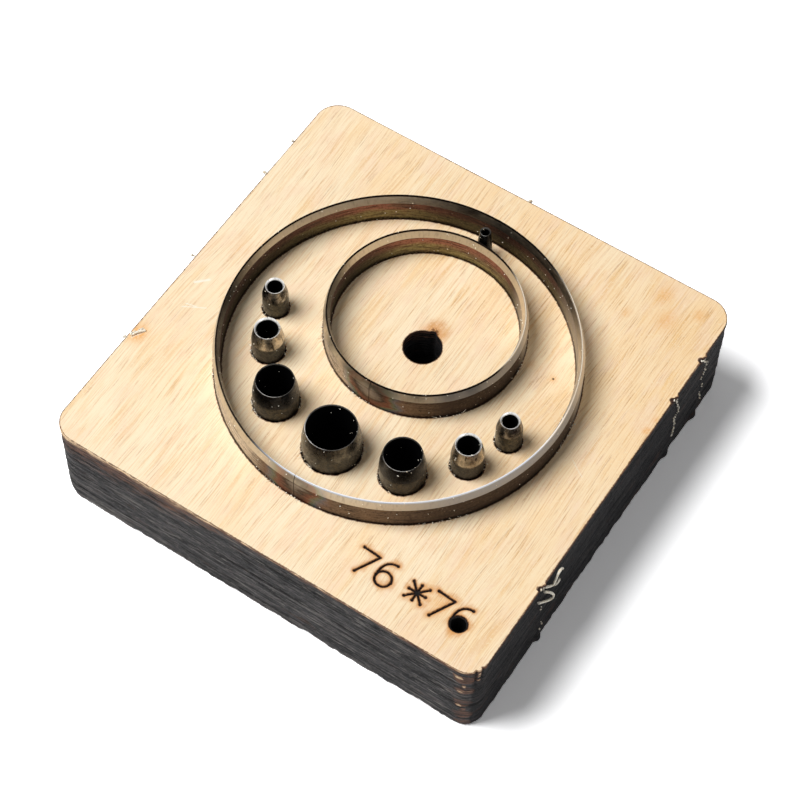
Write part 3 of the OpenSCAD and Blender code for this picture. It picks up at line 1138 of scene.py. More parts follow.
    def face_points(self, loops: list[Points]) -> Points:
        """Gives the points inside the upper face, closer together where the laser burnt it."""
        mark_low, mark_high = self.mark.box()
        nick = np.array([self.hole.x, self.hole.y + self.hole.radius])
        coarse = self.lattice(self.low, self.high, self.face_pitch, 0.3)
        marked = ((coarse[:, :2] > mark_low) & (coarse[:, :2] < mark_high)).all(axis=1)
        near_nick = spot_gap(coarse, *nick) < self.nick_room
        fine = self.lattice(mark_low, mark_high, self.mark_pitch, 7.3)
        smoky = self.lattice(nick - self.nick_room, nick + self.nick_room, self.nick_pitch, 2.3)
        smoky = smoky[spot_gap(smoky, *nick) < self.nick_room]
        collars = []
        for loop in loops[1:]:
            middle = loop[:, :2].mean(axis=0)
            ray = loop[:, :2] - middle
            reach = np.hypot(ray[:, 0], ray[:, 1])[:, None]
            for gap in self.collar_gaps:
                collars.append(np.column_stack([middle + ray * (1 + gap / reach), np.zeros(len(loop))]))
        edge = loops[0][:, :2]
        half_side = round((self.high[0] - self.low[0]) / 2, 3)
        for gap in self.edge_gaps:
            collars.append(np.column_stack([edge * (1 - gap / half_side), np.zeros(len(edge))]))
        worn = []
        for start, end, half in self.wear.scuffs:
            room = 2.5 * half
            low, high = np.minimum(start, end) - room, np.maximum(start, end) + room
            worn.append(self.lattice(low, high, self.scuff_pitch, 1.3))
        for x, y, radius in self.wear.dots:
            dot = np.array([x, y])
            worn.append(self.lattice(dot - 3 * radius, dot + 3 * radius, 0.6 * radius, 1.3))
        every = np.concatenate([coarse[~marked & ~near_nick], fine, smoky, *worn, *collars])
        return every[self.kerf_gap(every, loops) > self.least_gap]

    def fill(self, loops: list[Points], inside: Points) -> tuple[Points, list]:
        """Covers the wood between outlines with triangles.

        Args:
            loops: The closed outlines, outermost first.
            inside: Further points to use.

        Returns:
            The points, flat, and the triangles.
        """
        flat = [loop[:, :2] for loop in loops]
        edges, start = [], 0
        for loop in flat:
            edges += [(start + i, start + (i + 1) % len(loop)) for i in range(len(loop))]
            start += len(loop)
        every = np.concatenate([*flat, inside[:, :2]])
        points, _, faces, *_ = delaunay_2d_cdt([Vector(p) for p in every], edges, [], 0, 1e-5)
        places = np.array([tuple(p) for p in points])
        corners = np.array(faces)
        middle = places[corners].mean(axis=1)
        wood = np.zeros(len(middle), bool)
        for loop in flat:
            ends = np.roll(loop, -1, axis=0)
            for (x0, y0), (x1, y1) in zip(loop, ends):
                if y0 != y1:
                    spans = (y0 > middle[:, 1]) != (y1 > middle[:, 1])
                    wood ^= spans & (middle[:, 0] < (x1 - x0) * (middle[:, 1] - y0) / (y1 - y0) + x0)
        return places, corners[wood].tolist()

    def smoke(self, points: Points) -> Points:
        """Gives how strongly smoke has browned the face, 0 to 1, behind the nick and round the mark."""
        nick = np.array([self.hole.x + 0.1, self.hole.y + self.hole.radius])
        away = points[:, :2] - nick
        drift = roughness_at(np.column_stack([points[:, :2], np.zeros(len(points))]), (1.1, 1.6, 1), 3.3)
        plume = np.hypot(away[:, 0] * 0.8, np.where(away[:, 1] > 0, away[:, 1] * 0.6, away[:, 1] * 1.2))
        found = 0.75 * smooth_step(plume + 0.4 * drift, 2.8, 0.2) + 0.5 * smooth_step(plume + 0.2 * drift, 0.9, 0.1)
        halo = smooth_step(self.mark.away(points) + 0.7 * drift, 1.3, 0.1) * 0.5
        return np.maximum(found, halo)

    def build_faces(self, draft: MeshDraft) -> None:
        """Adds the upper and the lower face."""
        top, bottom = self.high[2], self.low[2]
        loops = self.face_loops(top)
        flat, faces = self.fill(loops, self.face_points(loops))
        places = np.column_stack([flat, np.full(len(flat), top)])
        places[:, 2] -= self.mark.sink(places)
        draft.add(places, faces, kerf_mm=self.kerf_gap(places, loops), mark_mm=self.mark.away(places),
                  smoke=self.smoke(places), burnt=np.maximum(self.mark.burnt(places), self.wear.dotted(places)),
                  stain=self.wear.stained(places), scuff=self.wear.scuffed(places))
        loops = [self.rim_row(bottom), self.hole_row(bottom)]
        loops += [self.tube_row(tube, bottom, 0) for tube in self.tubes]
        for slot in self.slots:
            loops += self.open_arcs(slot, bottom)
        inside = self.lattice(self.low, self.high, self.under_pitch, 4.4)
        inside = inside[self.kerf_gap(inside, loops) > self.least_gap_under]
        flat, faces = self.fill(loops, inside)
        places = np.column_stack([flat, np.full(len(flat), bottom)])
        draft.add(places, faces, kerf_mm=self.kerf_gap(places, loops), mark_mm=np.full(len(places), FAR))

    def open_arcs(self, slot: RuleSlot, z: float) -> list[Points]:
        """Gives the outline of each stretch of a slot between two bridges."""
        turns = slot.turns()
        outer = slot.ring.at(turns, slot.wall(1, 1), z)
        inner = slot.ring.at(turns, slot.wall(-1, 1), z)
        spans = [slot.bridged((turns[i] + turns[(i + 1) % len(turns)]) / 2) for i in range(len(turns) - 1)]
        spans.append(slot.bridged((turns[-1] + turns[0] + 2 * math.pi) / 2))
        start = spans.index(True)
        arcs, run = [], []
        for step in range(len(turns) + 1):
            i = (start + step) % len(turns)
            if not spans[i] and step < len(turns):
                run.append(i)
            elif run:
                run.append(i)
                arcs.append(np.concatenate([outer[run], inner[run[::-1]]]))
                run = []
        return arcs

    def build_slot(self, draft: MeshDraft, slot: RuleSlot) -> None:
        """Adds a slot's walls, and its wood bridges below the face."""
        top, bottom = self.high[2], self.low[2]
        shelf = top - slot.bridge_drop
        turns = slot.turns()
        levels = ((top, 0), (top - self.frayed_h, 1), (shelf, 1), (bottom, 1))
        rings = {side: [slot.ring.at(turns, slot.wall(side, level), z) for z, level in levels] for side in (1, -1)}
        outer, inner = rings[1], rings[-1]
        count = len(turns)
        for i in range(count):
            j = (i + 1) % count
            after = turns[j] + (2 * math.pi if j == 0 else 0)
            open_here = not slot.bridged((turns[i] + after) / 2)
            for wall in (outer, inner):
                for upper, lower in zip(wall[:3 if open_here else 2], wall[1:]):
                    draft.quad(upper[i], upper[j], lower[j], lower[i])
            if not open_here:
                draft.quad(outer[2][i], outer[2][j], inner[2][j], inner[2][i])
            before = turns[i - 1] - (2 * math.pi if i == 0 else 0)
            if slot.bridged((before + turns[i]) / 2) == open_here:
                draft.quad(outer[2][i], inner[2][i], inner[3][i], outer[3][i])

    def build_rim(self, draft: MeshDraft) -> None:
        """Adds the charred wall round the board and its arris."""
        top, bottom = self.high[2], self.low[2]
        heights = np.linspace(top - self.arris, bottom, int((top - bottom) / self.row_pitch))
        rows = [self.face_loops(top)[0], *[self.rim_row(z) for z in heights]]
        draft.band(rows, bare=[self.bareness(row) for row in rows])

    def bareness(self, row: Points) -> Points:
        """Gives how much unburnt wood shows at points of the wall, 0 to 1."""
        below = self.high[2] - row[:, 2]
        front = row[:, 1] < self.low[1] + 2
        left = smooth_step(row[:, 0], 4.0, -20.0) * front
        reach = 0.32 + 0.2 * front + 1.9 * left + (0.12 + 0.4 * front) * roughness_at(row, (3, 3, 50), 7.7)
        singed = (0.5 + 0.35 * left) * np.exp(-below / np.clip(reach, 0.15, 3))
        speckle = 1 + roughness_at(row, (2.2, 2.2, 50), 2.2)
        singed += (0.2 + 0.25 * left) * front * smooth_step(below, 0.5, 0.15) * speckle
        foot = 0.3 * front * smooth_step(row[:, 2], 0.7, 0.1)
        for x, y in self.wear.tabs:
            torn = hill(row[:, 1] - y, 0.7) * (row[:, 0] > x - 2)
            singed = np.maximum(singed, 0.4 * torn * smooth_step(below, 2.6, 0.4))
        return np.clip(np.maximum(np.maximum(singed, foot), self.wear.patched(row)), 0, 1)

    def build_holes(self, draft: MeshDraft) -> None:
        """Adds the walls of the centre hole and of the punches' holes."""
        top, bottom = self.high[2], self.low[2]
        rows = [self.hole_row(z) for z in np.linspace(top, bottom, self.hole_rows)]
        left = [smooth_step(row[:, 0] - self.hole.x, 1.2, -1.5) for row in rows]
        draft.band(rows, bare=[0.34 * smooth_step(top - row[:, 2], 3.2, 0.0) * part for row, part in zip(rows, left)])
        for tube in self.tubes:
            levels = ((top, self.tube_ragged), (top - self.frayed_h, 0), (bottom, 0))
            draft.band([self.tube_row(tube, z, ragged) for z, ragged in levels])

    def build(self) -> bpy.types.Object:
        """Makes the board."""
        draft = MeshDraft(("kerf_mm", "mark_mm", "smoke", "burnt", "stain", "scuff", "bare"))
        self.build_faces(draft)
        for slot in self.slots:
            self.build_slot(draft, slot)
        self.build_rim(draft)
        self.build_holes(draft)
        return draft.make("ply_board", [BirchFace().material(), CharredEdge().material()])


class GrowthTree:
    """A Geometry Nodes group with named inputs, run on a piece and then kept as plain mesh."""

    NAME = "growth"
    NUMBERS: dict[str, str] = {}

    def __init__(self) -> None:
        """Builds the tree: its inputs, what it grows from them, and the material on the result."""
        self.tree = bpy.data.node_groups.new(self.NAME, "GeometryNodeTree")
        face = self.tree.interface
        face.new_socket("Geometry", in_out="INPUT", socket_type="NodeSocketGeometry")
        self.keys = {}
        for name, kind in {**self.NUMBERS, "Material": "Material"}.items():
            self.keys[name] = face.new_socket(name, in_out="INPUT", socket_type=f"NodeSocket{kind}").identifier
        face.new_socket("Geometry", in_out="OUTPUT", socket_type="NodeSocketGeometry")
        sheet = NodeSheet(self.tree)
        given = sheet.add("NodeGroupInput").outputs
        real = sheet.out("GeometryNodeRealizeInstances", {"Geometry": self.grow(sheet, given)})
        dressed = sheet.out("GeometryNodeSetMaterial", {"Geometry": real, "Material": given["Material"]})
        sheet.add("NodeGroupOutput", {"Geometry": dressed})

    def grow(self, sheet: NodeSheet, given: bpy.types.NodeOutputs) -> Socket:
        """Adds the tree's own nodes.

        Args:
            sheet: The tree's nodes.
            given: The group's inputs, by name.

        Returns:
            The geometry that they grow.
        """
        raise NotImplementedError

    def choice(self, sheet: NodeSheet, when: Socket, no: Socket, yes: Socket) -> Socket:
        """Gives one geometry or the other."""
        return sheet.out("GeometryNodeSwitch", {"Switch": when, "False": no, "True": yes}, input_type="GEOMETRY")

    def apply(self, piece: bpy.types.Object, **numbers: object) -> bpy.types.Object:
        """Runs the tree on a piece.

        Args:
            piece: The object, whose mesh the result takes the place of.
            numbers: The tree's inputs, named with underscores.

        Returns:
            The same object, with no modifier.
        """
        modifier = piece.modifiers.new(self.NAME, "NODES")
        modifier.node_group = self.tree
        for key, value in numbers.items():
            modifier[self.keys[key.replace("_", " ")]] = value
        graph = bpy.context.evaluated_depsgraph_get()
        mesh = bpy.data.meshes.new_from_object(piece.evaluated_get(graph))
        old = piece.data
        piece.modifiers.clear()
        piece.data = mesh
        bpy.data.meshes.remove(old)
        mesh.name = piece.name
        return piece


class SteelSweep(GrowthTree):
    """Sweeps a drawn section round an arc and notches the strip over its bridges."""

    NAME = "steel_sweep"
    NUMBERS = {"Radius": "Float", "Start Turn": "Float", "Sweep": "Float", "Steps": "Int", "Butt Joint": "Bool",
               "Bridges": "Int", "First Bridge": "Float", "Bridge Size": "Vector", "Waviness": "Float",
               "Straight Below": "Float"}
    WAVE_SCALE = 0.16 * PER_METRE

    def grow(self, sheet: NodeSheet, given: bpy.types.NodeOutputs) -> Socket:
        """Sweeps the strip, bends it a little and cuts its notches."""
        strip = self.wavy(sheet, given, self.swept(sheet, given))
        notched = sheet.out("GeometryNodeMeshBoolean", {"Mesh 1": strip, "Mesh 2": self.blocks(sheet, given)},
                            operation="DIFFERENCE", solver="EXACT")
        some = sheet.out("FunctionNodeCompare", {2: given["Bridges"], 3: 0}, data_type="INT", operation="GREATER_THAN")
        return self.choice(sheet, some, strip, notched)

    def swept(self, sheet: NodeSheet, given: bpy.types.NodeOutputs) -> Socket:
        """Sweeps the section round the arc, and closes a full turn."""
        section = sheet.out("GeometryNodeMeshToCurve", {"Mesh": given["Geometry"]})
        arc = sheet.out("GeometryNodeCurveArc", {"Resolution": given["Steps"], "Radius": given["Radius"],
                                                 "Start Angle": given["Start Turn"], "Sweep Angle": given["Sweep"]})
        closed = sheet.out("FunctionNodeBooleanMath", {0: given["Butt Joint"]}, operation="NOT")
        path = sheet.out("GeometryNodeSetSplineCyclic", {"Geometry": arc, "Cyclic": closed})
        upright = sheet.out("GeometryNodeSetCurveNormal", {"Curve": path}, mode="Z_UP")
        solid = sheet.out("GeometryNodeCurveToMesh", {"Curve": upright, "Profile Curve": section,
                                                      "Fill Caps": given["Butt Joint"]})
        return sheet.out("GeometryNodeFlipFaces", {"Mesh": solid})

    def wavy(self, sheet: NodeSheet, given: bpy.types.NodeOutputs, strip: Socket) -> Socket:
        """Pushes the strip in and out a little where it stands free of the board."""
        place = sheet.out("GeometryNodeInputPosition")
        parts = sheet.axes(place)
        ray = sheet.vectors("NORMALIZE", sheet.out("ShaderNodeCombineXYZ", {"X": parts["X"], "Y": parts["Y"]}))
        wave = sheet.out("ShaderNodeTexNoise", {"Vector": place, "Scale": self.WAVE_SCALE, "Detail": 2.0})
        free = sheet.maths("GREATER_THAN", parts["Z"], given["Straight Below"])
        push = sheet.maths("MULTIPLY", sheet.maths("SUBTRACT", wave, 0.5), given["Waviness"])
        shift = sheet.scaled(ray, sheet.maths("MULTIPLY", push, free))
        return sheet.out("GeometryNodeSetPosition", {"Geometry": strip, "Offset": shift})

    def blocks(self, sheet: NodeSheet, given: bpy.types.NodeOutputs) -> Socket:
        """Stands a block at each bridge, spaced evenly round the arc."""
        ring = sheet.out("GeometryNodeMeshCircle", {"Vertices": given["Bridges"], "Radius": given["Radius"]})
        turn = sheet.out("ShaderNodeCombineXYZ", {"Z": given["First Bridge"]})
        ring = sheet.out("GeometryNodeTransform", {"Geometry": ring, "Rotation": turn})
        spot = sheet.out("GeometryNodeInputPosition")
        facing = sheet.out("FunctionNodeAlignRotationToVector", {"Vector": spot}, axis="X", pivot_axis="Z")
        block = sheet.out("GeometryNodeMeshCube", {"Size": given["Bridge Size"]})
        blocks = sheet.out("GeometryNodeInstanceOnPoints", {"Points": ring, "Instance": block, "Rotation": facing})
        return sheet.out("GeometryNodeRealizeInstances", {"Geometry": blocks})

    def run(self, name: str, section: Points, marks: dict[str, list[float]], **numbers: object) -> bpy.types.Object:
        """Sweeps one section.

        Args:
            name: The new object's name.
            section: The section's corners, as distance from the arc and height, in millimetres.
            marks: Numbers kept at the corners, such as how ground each is.
            numbers: The tree's inputs, named with underscores.

        Returns:
            The finished object, round the origin and in metres, with no modifier.
        """
        mesh = bpy.data.meshes.new(name)
        corners = [(across * MM, -up * MM, 0) for across, up in section]
        mesh.from_pydata(corners, [(i, (i + 1) % len(corners)) for i in range(len(corners))], [])
        for mark, values in marks.items():
            mesh.attributes.new(mark, "FLOAT", "POINT").data.foreach_set("value", values)
        return self.apply(in_scene(name, mesh), **numbers)


@dataclass(frozen=True)
class RuleKind:
    """What one rule is: its bridges, the first one's bearing, their width, and how strong its steel's painted shade,
    glint and sheen are.
    """

    bridges: int
    first_bridge: float
    bridge_w: float
    painted_shade: float
    painted_glint: float
    painted_sheen: float


@dataclass(frozen=True)
class RingRule:
    """A strip of rule bent into a ring, ground to an edge, notched over the bridges and butt-jointed."""

    node: str
    circle: Circle
    foot: float
    edge: float
    board_top: float
    rule_t: float
    bridge_drop: float
    kind: RuleKind
    seam_turn: float = -90.0
    seam_gap: float = 0.1
    notch_gap: float = 0.3
    bevel_h: float = 1.5
    land: float = 0.12
    step_angle: float = 0.8
    waviness: float = 0.09

    def section(self) -> tuple[Points, dict[str, list[float]]]:
        """Gives the strip's section, up one side and down the other, with its ground and its topmost corners."""
        half, shoulder = self.rule_t / 2, self.edge - self.bevel_h
        slope = (half - self.land / 2) / self.bevel_h
        side = [(half, self.foot, 0, 0), (half, self.board_top - 1, 0, 0), (half, self.board_top, 0, 0),
                (half, shoulder - 0.04, 0, 0), (half - 0.01, shoulder, 1, 0),
                ((half + self.land / 2) / 2, (shoulder + self.edge) / 2, 1, 0),
                (self.land / 2 + 0.3 * slope, self.edge - 0.3, 1, 0),
                (self.land / 2 + 0.2 * slope, self.edge - 0.2, 0, 1), (self.land / 2, self.edge, 0, 1)]
        back = [(-across, *rest) for across, *rest in reversed(side)]
        rows = np.array([*side, *back])
        inward = [1.0 if across < 0 else 0.0 for across in rows[:, 0]]
        return rows[:, :2], {"ground": rows[:, 2].tolist(), "land": rows[:, 3].tolist(), "inward": inward}

    def seam(self) -> tuple[float, float]:
        """Gives where the butt joint stands, in millimetres."""
        turn = math.radians(self.seam_turn)
        reach = self.circle.radius
        return (self.circle.x + reach * math.cos(turn), self.circle.y + reach * math.sin(turn))

    def slot(self) -> RuleSlot:
        """Gives the slot that the rule stands in."""
        kind = self.kind
        turns = tuple(kind.first_bridge + 360 / kind.bridges * i for i in range(kind.bridges))
        return RuleSlot(self.circle, self.rule_t, turns, kind.bridge_w, self.bridge_drop)

    def build(self, sweep: SteelSweep) -> bpy.types.Object:
        """Makes the rule in its slot."""
        section, marks = self.section()
        kind, gap = self.kind, self.seam_gap / self.circle.radius
        tall = 2 * (self.board_top - self.bridge_drop + self.notch_gap - self.foot)
        finish = TemperedRule(f"{self.node}_finish", (self.circle.x, self.circle.y), self.circle.radius, self.seam(),
                              self.board_top, kind.painted_shade, kind.painted_glint, kind.painted_sheen)
        piece = sweep.run(
            self.node + "_steel", section, marks,
            Radius=self.circle.radius * MM, Start_Turn=math.radians(self.seam_turn) + gap / 2,
            Sweep=2 * math.pi - gap, Steps=int(360 / self.step_angle), Butt_Joint=True,
            Bridges=kind.bridges, First_Bridge=math.radians(kind.first_bridge),
            Bridge_Size=(3 * self.rule_t * MM, (kind.bridge_w + 2 * self.notch_gap) * MM, tall * MM),
            Waviness=self.waviness * MM, Straight_Below=(self.board_top - 0.5) * MM, Material=finish.material())
        piece.data.transform(Matrix.Translation((self.circle.x * MM, self.circle.y * MM, 0)))
        shade(piece, 25)
        return piece


@dataclass(frozen=True)
class PunchKind:
    """What one punch is: its slot, bevel width, bevel height, lip width and colours."""

    slot: Slot
    bevel_w: float
    bevel_h: float
    lip_w: float
    tones: SteelTones


@dataclass(frozen=True)
class TubePunch:
    """A turned tube punch: a straight body, a ground bevel, a fine edge, a lip and a waste bore."""

    node: str
    circle: Circle
    foot: float
    edge: float
    board_top: float
    kind: PunchKind
    land: float = 0.06
    throat: float = 6.0
    relief_share: float = 0.25
    step_angle: float = 3.75

    def section(self) -> tuple[Points, dict[str, list[float]]]:
        """Gives the wall's section, up the outside and down the bore, with its ground and sooty corners."""
        bevel_w, bevel_h, lip_w, edge = self.kind.bevel_w, self.kind.bevel_h, self.kind.lip_w, self.edge
        body, cut = self.circle.radius, self.circle.radius - bevel_w
        bore = cut - lip_w
        relief = bore + self.relief_share * (body - bore)
        shoulder = edge - bevel_h
        soft = 0.16 * bevel_h
        rows = [(relief, self.foot, 0, 0, 1), (body, self.foot, 0, 0, 0), (body, edge - 6.2, 0, 0, 0),
                (body, shoulder - soft, 0, 0, 0),
                (body - 0.02 * bevel_w, shoulder - 0.3 * soft, 0.1, 0, 0),
                (body - 0.07 * bevel_w, shoulder + 0.4 * soft, 1, 0, 0),
                (body - 0.46 * bevel_w, shoulder + 0.52 * bevel_h, 1, 0, 0),
                (cut + 0.03, edge - 0.12, 1, 0, 0), (cut + 0.005, edge - 0.03, 1, 0.6, 0),
                (cut - 0.01, edge, 0, 1, 0), (cut - self.land, edge, 0, 1, 0),
                (bore + 0.3 * lip_w, edge - 0.62 * lip_w, 0, 0.9, 0),
                (bore, edge - lip_w, 0, 0.4, 0.4), (bore, edge - lip_w - 0.15, 0, 0, 1),
                (bore, edge - self.throat, 0, 0, 1), (relief, edge - self.throat - (relief - bore), 0, 0, 1)]
        table = np.array(rows)
        return table[:, :2], {name: table[:, 2 + i].tolist() for i, name in enumerate(("ground", "rim", "bore"))}

    def build(self, sweep: SteelSweep) -> bpy.types.Object:
        """Makes the punch in its hole."""
        section, marks = self.section()
        middle, centre = self.circle.radius / 2, (self.circle.x, self.circle.y)
        finish = TurnedSteel(f"{self.node}_finish", centre, self.circle.radius, self.kind.tones, self.board_top)
        piece = sweep.run(
            self.node + "_steel", section - np.array([middle, 0]), marks,
            Radius=middle * MM, Start_Turn=0.0, Sweep=math.radians(360 - self.step_angle),
            Steps=round(360 / self.step_angle), Butt_Joint=False, Bridges=0, First_Bridge=0.0,
            Bridge_Size=(0.0, 0.0, 0.0), Waviness=0.0, Straight_Below=self.edge * MM, Material=finish.material())
        piece.data.transform(Matrix.Translation((self.circle.x * MM, self.circle.y * MM, 0)))
        shade(piece, 30)
        return piece


@dataclass(frozen=True)
class Strewing:
    """How crumbs or strands lie, in millimetres: how close, how shaken, how large, and their random seed."""

    size: float
    least: float
    seed: int
    stretch: tuple[float, float, float] = (1.0, 1.0, 1.0)
    pitch: float = 1.0
    jitter: float = 0.0
    strands: bool = False
    density: float = 0.0
    above: float = 0.0


class Litter(GrowthTree):
    """Lays crumbs or strands over a mesh's faces, or along its edges."""

    NAME = "litter"
    NUMBERS = {"Scatter": "Bool", "Density": "Float", "Above": "Float", "Pitch": "Float", "Jitter": "Float",
               "Strands": "Bool", "Size": "Float", "Least": "Float", "Stretch": "Vector", "Seed": "Int"}

    def grow(self, sheet: NodeSheet, given: bpy.types.NodeOutputs) -> Socket:
        """Puts a crumb or a strand at each place, in its own size and turn."""
        spots = self.spots(sheet, given)
        crumb = sheet.out("GeometryNodeMeshIcoSphere", {"Radius": 0.5, "Subdivisions": 1})
        strand = sheet.out("GeometryNodeMeshCone", {"Vertices": 4, "Side Segments": 3, "Radius Top": 0.02,
                                                    "Radius Bottom": 0.09, "Depth": 1.0})
        shape = self.choice(sheet, given["Strands"], crumb, strand)
        least = sheet.out("ShaderNodeCombineXYZ", {axis: given["Least"] for axis in "XYZ"})
        share = self.random_vector(sheet, least, (1, 1, 1), given["Seed"])
        scale = sheet.scaled(sheet.vectors("MULTIPLY", share, given["Stretch"]), given["Size"])
        turn = self.random_vector(sheet, (-math.pi,) * 3, (math.pi,) * 3, given["Seed"])
        return sheet.out("GeometryNodeInstanceOnPoints",
                         {"Points": spots, "Instance": shape, "Rotation": turn, "Scale": scale})

    def random_vector(self, sheet: NodeSheet, low: object, high: object, seed: Socket) -> Socket:
        """Gives a random vector for each place, between two corners."""
        return sheet.out("FunctionNodeRandomValue", {0: low, 1: high, "Seed": seed}, data_type="FLOAT_VECTOR")

    def spots(self, sheet: NodeSheet, given: bpy.types.NodeOutputs) -> Socket:
        """Picks the places, and shakes them a little."""
        height = sheet.axes(sheet.out("GeometryNodeInputPosition"))["Z"]
        high = sheet.out("FunctionNodeCompare", {0: height, 1: given["Above"]}, data_type="FLOAT",
                         operation="GREATER_THAN")
        over = sheet.out("GeometryNodeDistributePointsOnFaces", {"Mesh": given["Geometry"], "Selection": high,
                                                                 "Density": given["Density"], "Seed": given["Seed"]})
        line = sheet.out("GeometryNodeMeshToCurve", {"Mesh": given["Geometry"]})
        along = sheet.out("GeometryNodeResampleCurve", {"Curve": line, "Length": given["Pitch"]}, mode="LENGTH")
        beads = sheet.out("GeometryNodeCurveToPoints", {"Curve": along}, mode="EVALUATED")
        places = self.choice(sheet, given["Scatter"], beads, over)
        shake = self.random_vector(sheet, (-1, -1, -1), (1, 1, 1), given["Seed"])
        shift = sheet.scaled(shake, given["Jitter"])
        return sheet.out("GeometryNodeSetPosition", {"Geometry": places, "Offset": shift})

    def lay(self, piece: bpy.types.Object, look: Strewing, material: bpy.types.Material) -> bpy.types.Object:
        """Covers a piece, which is used up.

        Args:
            piece: The object whose faces or edges the crumbs lie on.
            look: How they lie; a density above 0 puts them on the faces.
            material: Their material.

        Returns:
            The same object, now only the crumbs.
        """
        return self.apply(
            piece, Scatter=look.density > 0, Density=look.density * PER_METRE**2, Above=look.above * MM,
            Pitch=look.pitch * MM, Jitter=look.jitter * MM, Strands=look.strands, Size=look.size * MM,
            Least=look.least, Stretch=look.stretch, Seed=look.seed, Material=material)


class FibreSweep(GrowthTree):
    """Sweeps a smooth thin fibre along each path and roughens it."""

    NAME = "fibre_sweep"
    NUMBERS = {"Radius": "Float"}
    ROUGHNESS = 0.16 * MM
    ROUGH_SCALE = 1.6 * PER_METRE

    def grow(self, sheet: NodeSheet, given: bpy.types.NodeOutputs) -> Socket:
        """Rounds each path, sweeps a thin tube along it and shakes the surface."""
        line = sheet.out("GeometryNodeMeshToCurve", {"Mesh": given["Geometry"]})
        soft = sheet.out("GeometryNodeCurveSplineType", {"Curve": line}, spline_type="CATMULL_ROM")
        path = sheet.out("GeometryNodeResampleCurve", {"Curve": soft, "Count": 28})
        section = sheet.out("GeometryNodeCurvePrimitiveCircle", {"Resolution": 6, "Radius": given["Radius"]})
        tube = sheet.out("GeometryNodeCurveToMesh", {"Curve": path, "Profile Curve": section, "Fill Caps": True})
        place = sheet.out("GeometryNodeInputPosition")
        rough = sheet.add("ShaderNodeTexNoise", {"Vector": place, "Scale": self.ROUGH_SCALE}).outputs["Color"]
        shift = sheet.scaled(sheet.vectors("SUBTRACT", rough, (0.5, 0.5, 0.5)), self.ROUGHNESS)
        return sheet.out("GeometryNodeSetPosition", {"Geometry": tube, "Offset": shift})


@dataclass(frozen=True)
class TornWood:
    """Cream wood torn where the board was broken out of its sheet: trails, stubs, curled fibres and fuzz."""

    trails: tuple[Points, ...]
    stubs: tuple[Points, ...]
    fuzz: tuple[Points, ...]
    curls: tuple[Points, ...]
    fibre_r: float = 0.21
    trail_look: Strewing = Strewing(0.46, 0.4, 4, (1.0, 0.7, 1.0), 0.42, 0.1)
    stub_look: Strewing = Strewing(0.9, 0.5, 9, (1.0, 1.0, 0.8), 0.25, 0.12)
    fuzz_look: Strewing = Strewing(1.1, 0.3, 2, (1.0, 1.0, 1.0), 0.5, 0.16, strands=True)
    crumb_look: Strewing = Strewing(0.34, 0.3, 13, (1.0, 1.0, 0.6), 0.85, 0.3)

    def lines(self, name: str, paths: tuple[Points, ...]) -> bpy.types.Object:
        """Makes an object of plain edges along paths, in metres."""
        points, edges = [], []
        for path in paths:
            start = len(points)
            points += [tuple(np.array(place) * MM) for place in path]
            edges += [(start + i, start + i + 1) for i in range(len(path) - 1)]
        mesh = bpy.data.meshes.new(name)
        mesh.from_pydata(points, edges, [])
        return in_scene(name, mesh)

    def build(self, litter: Litter) -> list[bpy.types.Object]:
        """Makes every torn piece."""
        cream, brown = PaleFibre().material("pale_fibre", 0.12), PaleFibre().material("singed_fibre", 0.85)
        curls = FibreSweep().apply(self.lines("curled_fibres", self.curls), Radius=self.fibre_r * MM, Material=cream)
        curls.data.shade_smooth()
        made = [curls]
        for name, paths, look, finish in (
                ("torn_trails", self.trails, self.trail_look, cream), ("tab_stubs", self.stubs, self.stub_look, brown),
                ("wood_fuzz", self.fuzz, self.fuzz_look, cream), ("kerf_crumbs", self.fuzz, self.crumb_look, cream)):
            made.append(litter.lay(self.lines(name, paths), look, finish))
        return made


def steel_dust(litter: Litter, steel: list[bpy.types.Object], above: float) -> bpy.types.Object:
    """Scatters specks of sawdust over the steel.

    Args:
        litter: The tree that lays them.
        steel: The pieces that they lie on.
        above: Height above which they lie, in millimetres.

    Returns:
        The specks, as one piece.
    """
    work = bmesh.new()
    for piece in steel:
        work.from_mesh(piece.data)
    mesh = bpy.data.meshes.new("steel_dust")
    work.to_mesh(mesh)
    work.free()
    look = Strewing(size=0.27, least=0.3, seed=21, density=0.15, above=above)
    return litter.lay(in_scene("steel_dust", mesh), look, PaleFibre().material("dust_specks", 0.0))


@dataclass(frozen=True)
class Lamp:
    """A soft round lamp that faces the die: bearing and height in degrees, the rest in millimetres and watts."""

    name: str
    azimuth: float
    elevation: float
    distance: float
    width: float
    power: float


